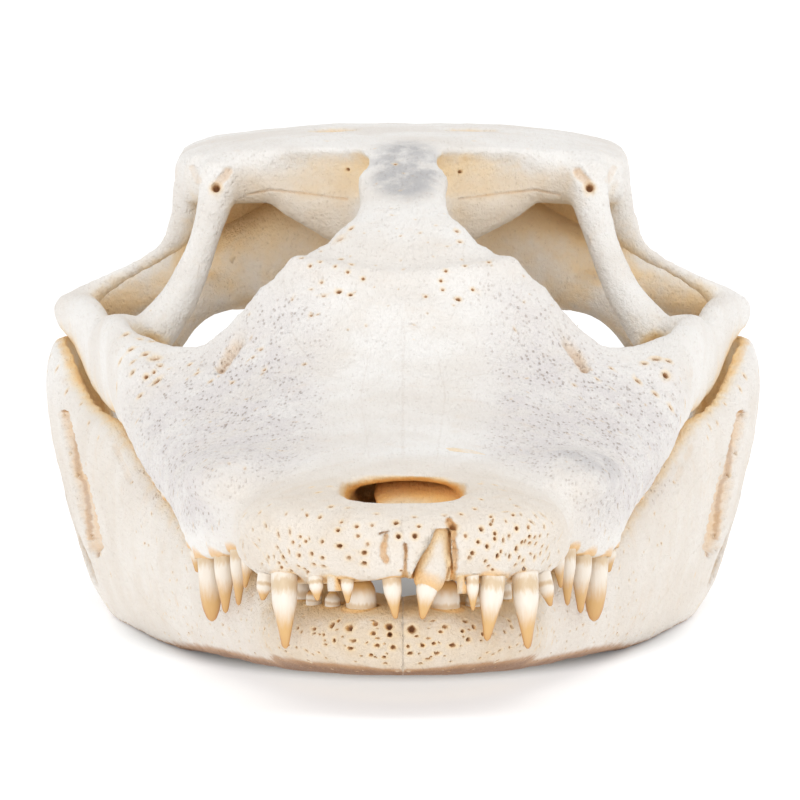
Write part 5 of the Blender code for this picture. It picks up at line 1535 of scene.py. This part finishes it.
def bone_finish(name):
    bone = Finish(name, Roughness=0.55)
    at = bone.place()
    labels = ("grey", "blue", "wide", "crevice_shade", "warm_tone_and_shade", "socket", "dust_and_underside_shade", "seam", "halo", "orange", "pit")
    kept = {label: bone.attribute(label) for label in labels}
    grey, dust_and_underside_shade, orange, pit = (kept[label] for label in ("grey", "dust_and_underside_shade", "orange", "pit"))
    clouds = bone.noise(at, 0.07, 4.0).fade(0.35, 0.65)
    grain = bone.noise(at, 0.9, 4.0, 0.6)
    fibres = bone.noise(bone.stretched(at, (1, 0.22, 0.8)), 1.6, 4.0, 0.65)
    patches = bone.noise(at, 0.22, 4.0, 0.6).fade(0.38, 0.6)
    flecks = bone.noise(bone.stretched(at, (1, 0.6, 1)), 2.2, 3.0, 0.6)
    stain = bone.noise(at, 0.3, 3.0) - 0.5
    speckle = bone.noise(at, 3.0, 2.0).fade(0.66, 0.8)
    squeezed = bone.stretched(at, (1, 0.6, 0.7))
    cells = bone.node("ShaderNodeTexVoronoi", {"feature": "F1"}, {"Vector": squeezed, "Scale": 1.5})
    specks = (1 - cells.fade(0.1, 0.34)) * (0.25 + 0.75 * grey) * (0.3 + 0.7 * patches)
    # Each layer covers those above it in this list where its mask is 1.
    layers = (
        (clouds, SHADED_CREAM),
        ((0.5 - fibres).fade(0.0, 0.16) * 0.3, SHADED_CREAM),
        (grey * (0.35 + 0.65 * patches), LAVENDER),
        (grey * flecks.fade(0.56, 0.72) * 0.55, BLUE_GREY),
        (kept["blue"] * (0.3 + 0.7 * patches), BLUE_GREY),
        # Painted shade and warm bounce light: cream, tan and orange where the bone is hidden in hollows and
        # crevices.
        ((kept["wide"] + 0.25 * stain).fade(0.05, 0.4) * 0.7, HOLLOW_SHADE_CREAM),
        ((kept["wide"] + 0.35 * stain).fade(0.15, 0.55), TAN),
        ((kept["crevice_shade"] + 0.5 * stain).fade(0.35, 0.85) * 0.75, ORANGE_TAN),
        # Warm zone: warm tone, with painted shade on the chin and under the brow.
        (kept["warm_tone_and_shade"] * (0.8 + 0.6 * stain), WARM_TAN),
        ((kept["socket"] + 0.6 * stain).fade(0.35, 1.0) * 0.8, ORANGE_TAN),
        # Brown painted shade on faces turned down, with dust along the jaw's lowest edge.
        ((dust_and_underside_shade + 0.5 * stain).fade(0.05, 0.6) * 0.85, ORANGE_PIT),
        ((dust_and_underside_shade + 0.5 * stain).fade(0.5, 1.0) * 0.8, DEEP_BROWN),
        (speckle * 0.35, SEAM_BROWN),
        ((1 - kept["seam"].fade(0.02, 0.24)) * 0.14, SEAM_BROWN),
        (kept["halo"] * (1 - dust_and_underside_shade.fade(0.0, 0.4)) * 0.5, TAN),
        # Orange: painted shade in slits, holes, the nostril and the mouth.
        ((orange + 0.4 * stain).fade(0.0, 0.7), ORANGE_TAN),
        ((orange + 0.2 * stain).fade(0.8, 1.1), ORANGE_BROWN),
        # Pit floors are brown; in slits the same brown is painted shade.
        (pit.fade(0.0, 0.6) * 0.9, ORANGE_PIT),
        (pit.fade(0.5, 1.1), PIT_BROWN),
        (specks * 0.55, SEAM_BROWN),
    )
    colour = CREAM
    for mask, over in layers:
        colour = bone.mix(mask, colour, over)
    rough = (0.3 + 0.7 * grey) * flecks + 0.3 * bone.noise(at, 4.0, 2.0) - 0.8 * specks
    normal = bone.bump(0.45 * grain + 0.8 * fibres + 0.7 * rough, 0.00055)
    return bone.finish(Base_Color=colour, Roughness=0.5 + 0.15 * grain, Normal=normal)


bone_material = bone_finish("dry_bone")

# %% [markdown]
# ## Amber teeth
#
# A dry tooth is white and porcelain-like at its neck and amber towards the tip, darkest along its left and
# right sides. On the front teeth these are its cutting edges; on the others the darkening is painted shade
# on the flanks seen from the front. Every point keeps how far along the tooth it is and how near to those
# sides, so the colour follows the tooth whatever way it leans.

# %% Tooth finish
NECK_TAN = from_srgb(216, 192, 158)
NECK_WHITE = from_srgb(238, 229, 216)
AMBER = from_srgb(216, 174, 114)
DARK_AMBER = from_srgb(188, 122, 50)


def tooth_finish(name):
    tooth = Finish(name, Coat_Roughness=0.2)
    at = tooth.place()
    streaks = tooth.noise(tooth.stretched(at, (2.6, 2.6, 0.5)), 1.0, 3.0)
    along = tooth.attribute("along") + 0.22 * (streaks - 0.5)
    # Near the left and right sides: cutting edges on the front teeth, painted shade on the flanks of the
    # others.
    edge = tooth.attribute("edge")
    colour = tooth.mix(abs(along - 0.02).fade(0.02, 0.18), NECK_TAN, NECK_WHITE)
    colour = tooth.mix((along + 0.16 * edge).fade(0.3, 0.75), colour, AMBER)
    colour = tooth.mix((along + 0.5 * edge).fade(0.75, 1.35), colour, DARK_AMBER)
    cracks = tooth.noise(tooth.stretched(at, (7, 7, 0.7)), 1.0, 2.0)
    normal = tooth.bump(0.6 * streaks + 0.4 * cracks, 0.00008, 0.5)
    roughness = 0.26 + 0.14 * cracks
    return tooth.finish(Base_Color=colour, Roughness=roughness, Normal=normal, Coat_Weight=0.25)


tooth_material = tooth_finish("tooth_enamel")

# %% Tooth shape
TOOTH_SIDES = 24
TOOTH_RINGS = 26
BLUNT = ("tooth_maxilla_left_4", "tooth_maxilla_right_4", "tooth_dentary_left_1", "tooth_dentary_right_1")
CROWN_SHARES = (0, 0.25, 0.5, 0.75, 0.92, 0.98, 1)
SHARP_WIDTHS = (1, 0.95, 0.72, 0.47, 0.3, 0.2, 0.06)
BLUNT_WIDTHS = (1, 0.98, 0.94, 0.78, 0.48, 0.28, 0.08)
BOW = 0.05
FLATTER = 0.96


def tooth_solid(root, tip, radius, neck, widths):
    """The rings of one tooth, and how far up the crown and how near to its side edges each point lies; on the
    front teeth those are cutting edges, elsewhere painted flank shade.
    """
    along = tip - root
    bow = Vector((0.0, -BOW * along.length, 0.0))
    above = neck + (1 - neck) * np.linspace(0, 1, TOOTH_RINGS - 3) ** 0.8
    at = np.concatenate([np.linspace(0, neck, 4)[:-1], above])
    crown = (at - neck) / (1 - neck)
    reach = smooth_through(CROWN_SHARES, widths, np.maximum(crown, 0)) * radius
    ahead = along.normalized()
    side = ahead.cross(Vector((0, 1, 0))).normalized()
    other = ahead.cross(side)
    rings, values = [], []
    for t, c, r in zip(at, crown, reach):
        middle = root + along * t + bow * math.sin(math.pi * t)
        ring = []
        for k in range(TOOTH_SIDES):
            turn = 2 * math.pi * k / TOOTH_SIDES
            carina_and_flank_shade = abs(math.cos(turn)) ** 6
            ring.append(middle + (side * math.cos(turn) + other * math.sin(turn) * FLATTER) * r)
            values.append((c, carina_and_flank_shade))
        rings.append(ring)
    return rings, values


def make_tooth(name, root, tip, radius, neck):
    blunt = name in BLUNT or (tip - root).length * (1 - neck) < 1.6 * radius
    rings, values = tooth_solid(root, tip, radius, neck, BLUNT_WIDTHS if blunt else SHARP_WIDTHS)
    tooth = joined(f"{name}_crown", [lofted(rings)])
    table = np.array(values)
    keep_value(tooth.data, "along", table[:, 0])
    keep_value(tooth.data, "edge", table[:, 1])
    tooth.data.materials.append(tooth_material)
    return tooth


dressed = []
for name, root, tip, radius, neck in upper_teeth() + lower_teeth():
    tooth = make_tooth(name, root, tip, radius, neck)
    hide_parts(name)
    dressed.append(tooth)
print("teeth made:", len(dressed))

# %% Putting the bones in place
for bone, node in ((cranium, "cranium"), (left_ramus, "mandible_left"), (right_ramus, "mandible_right")):
    bone.data.materials.clear()
    bone.data.materials.append(bone_material)
    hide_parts(node)
    dressed.append(bone)
lowest, highest = (np.array(corner) - np.array(SNOUT_TIP) for corner in cad_box)
for piece in dressed:
    mesh = piece.data
    place_points(mesh, np.clip(points_of(mesh), lowest, highest))
    mesh.shade_smooth()
    piece.location = SNOUT_TIP
    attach(piece, "root")
print("faces in all:", sum(len(piece.data.polygons) for piece in dressed))

# %% [markdown]
# ## Studio
#
# The photograph was taken on white paper in very soft light, with only a faint shadow under the jaw. A
# wide round floor with a low, lit rim far away is white behind the skull from whichever side it is seen.
# The paper glows a little, except in an egg-shaped patch under the skull that doesn't glow and so holds a
# painted shadow. A white sky and two large lamps light it all.

# %% Paper floor
FLOOR_PROFILE = ((0.4, 0), (4.4, 0), (4.8, 0.05), (5, 0.25), (5.05, 1.3))
FLOOR_SIDES = 72
FLOOR_DROP = 0.0002
# Middle and half sizes, in millimetres, of the patch of paper that doesn't glow: the painted shadow.
PATCH_BACK = 25
PATCH_ACROSS = 43.0
PATCH_ALONG = 78.0


def paper_sheet():
    sheet = bmesh.new()
    rows = []
    for radius, z in FLOOR_PROFILE:
        ring = []
        for k in range(FLOOR_SIDES):
            turn = 2 * math.pi * k / FLOOR_SIDES
            ring.append(sheet.verts.new((radius * math.cos(turn), radius * math.sin(turn), z - FLOOR_DROP)))
        rows.append(ring)
    sheet.faces.new(rows[0])
    for i in range(len(rows) - 1):
        for k in range(FLOOR_SIDES):
            after = (k + 1) % FLOOR_SIDES
            face = sheet.faces.new((rows[i][k], rows[i + 1][k], rows[i + 1][after], rows[i][after]))
            face.material_index = min(i, 1)
    mesh = bpy.data.meshes.new("paper")
    sheet.to_mesh(mesh)
    sheet.free()
    paper = bpy.data.objects.new("paper", mesh)
    bpy.context.scene.collection.objects.link(paper)
    for name, share in (("white_paper", 0.64), ("lit_rim", 0.85)):
        white = (1, 1, 1, 1)
        grey = (0.48, 0.48, 0.48, 1)
        finish = Finish(name, Base_Color=grey, Roughness=0.9, Emission_Color=white, Emission_Strength=share)
        if name == "white_paper":
            shrunk = (1 / PATCH_ACROSS, 1 / PATCH_ALONG, 0.0)
            inputs = {0: finish.place(), 1: shrunk, 2: (0.0, -PATCH_BACK / PATCH_ALONG, 0.0)}
            at = finish.node("ShaderNodeVectorMath", {"operation": "MULTIPLY_ADD"}, inputs)
            far = finish.node("ShaderNodeVectorMath", {"operation": "LENGTH"}, {0: at}, output=1)
            # No glow inside the egg-shaped patch, which paints the shadow under the skull.
            painted_shadow_glow = finish.mix(far.fade(0.82, 1.06), (0, 0, 0), white[:3])
            finish.finish(Emission_Color=painted_shadow_glow)
        mesh.materials.append(finish.material)


paper_sheet()

# %% Lights
SKY = 0.8
LAMP_SIZE = (0.9, 0.7)
LAMPS_LOOK_AT = Vector((0, 0, 0.03))

world = bpy.data.worlds.new("white_room")
world.use_nodes = True
sky = world.node_tree.nodes["Background"]
sky.inputs["Color"].default_value = (1, 1, 1, 1)
sky.inputs["Strength"].default_value = SKY
bpy.context.scene.world = world
bpy.context.scene.view_settings.view_transform = "Standard"


def soft_lamp(name, place, power):
    lamp = bpy.data.lights.new(name, "AREA")
    lamp.shape = "RECTANGLE"
    lamp.size, lamp.size_y = LAMP_SIZE
    lamp.energy = power
    holder = bpy.data.objects.new(name, lamp)
    holder.location = place
    holder.rotation_euler = (LAMPS_LOOK_AT - Vector(place)).to_track_quat("-Z", "Y").to_euler()
    bpy.context.scene.collection.objects.link(holder)


soft_lamp("lamp_above", (0.25, -0.45, 1.1), 2.5)
soft_lamp("lamp_front", (-0.2, -1.35, 0.45), 3.4)
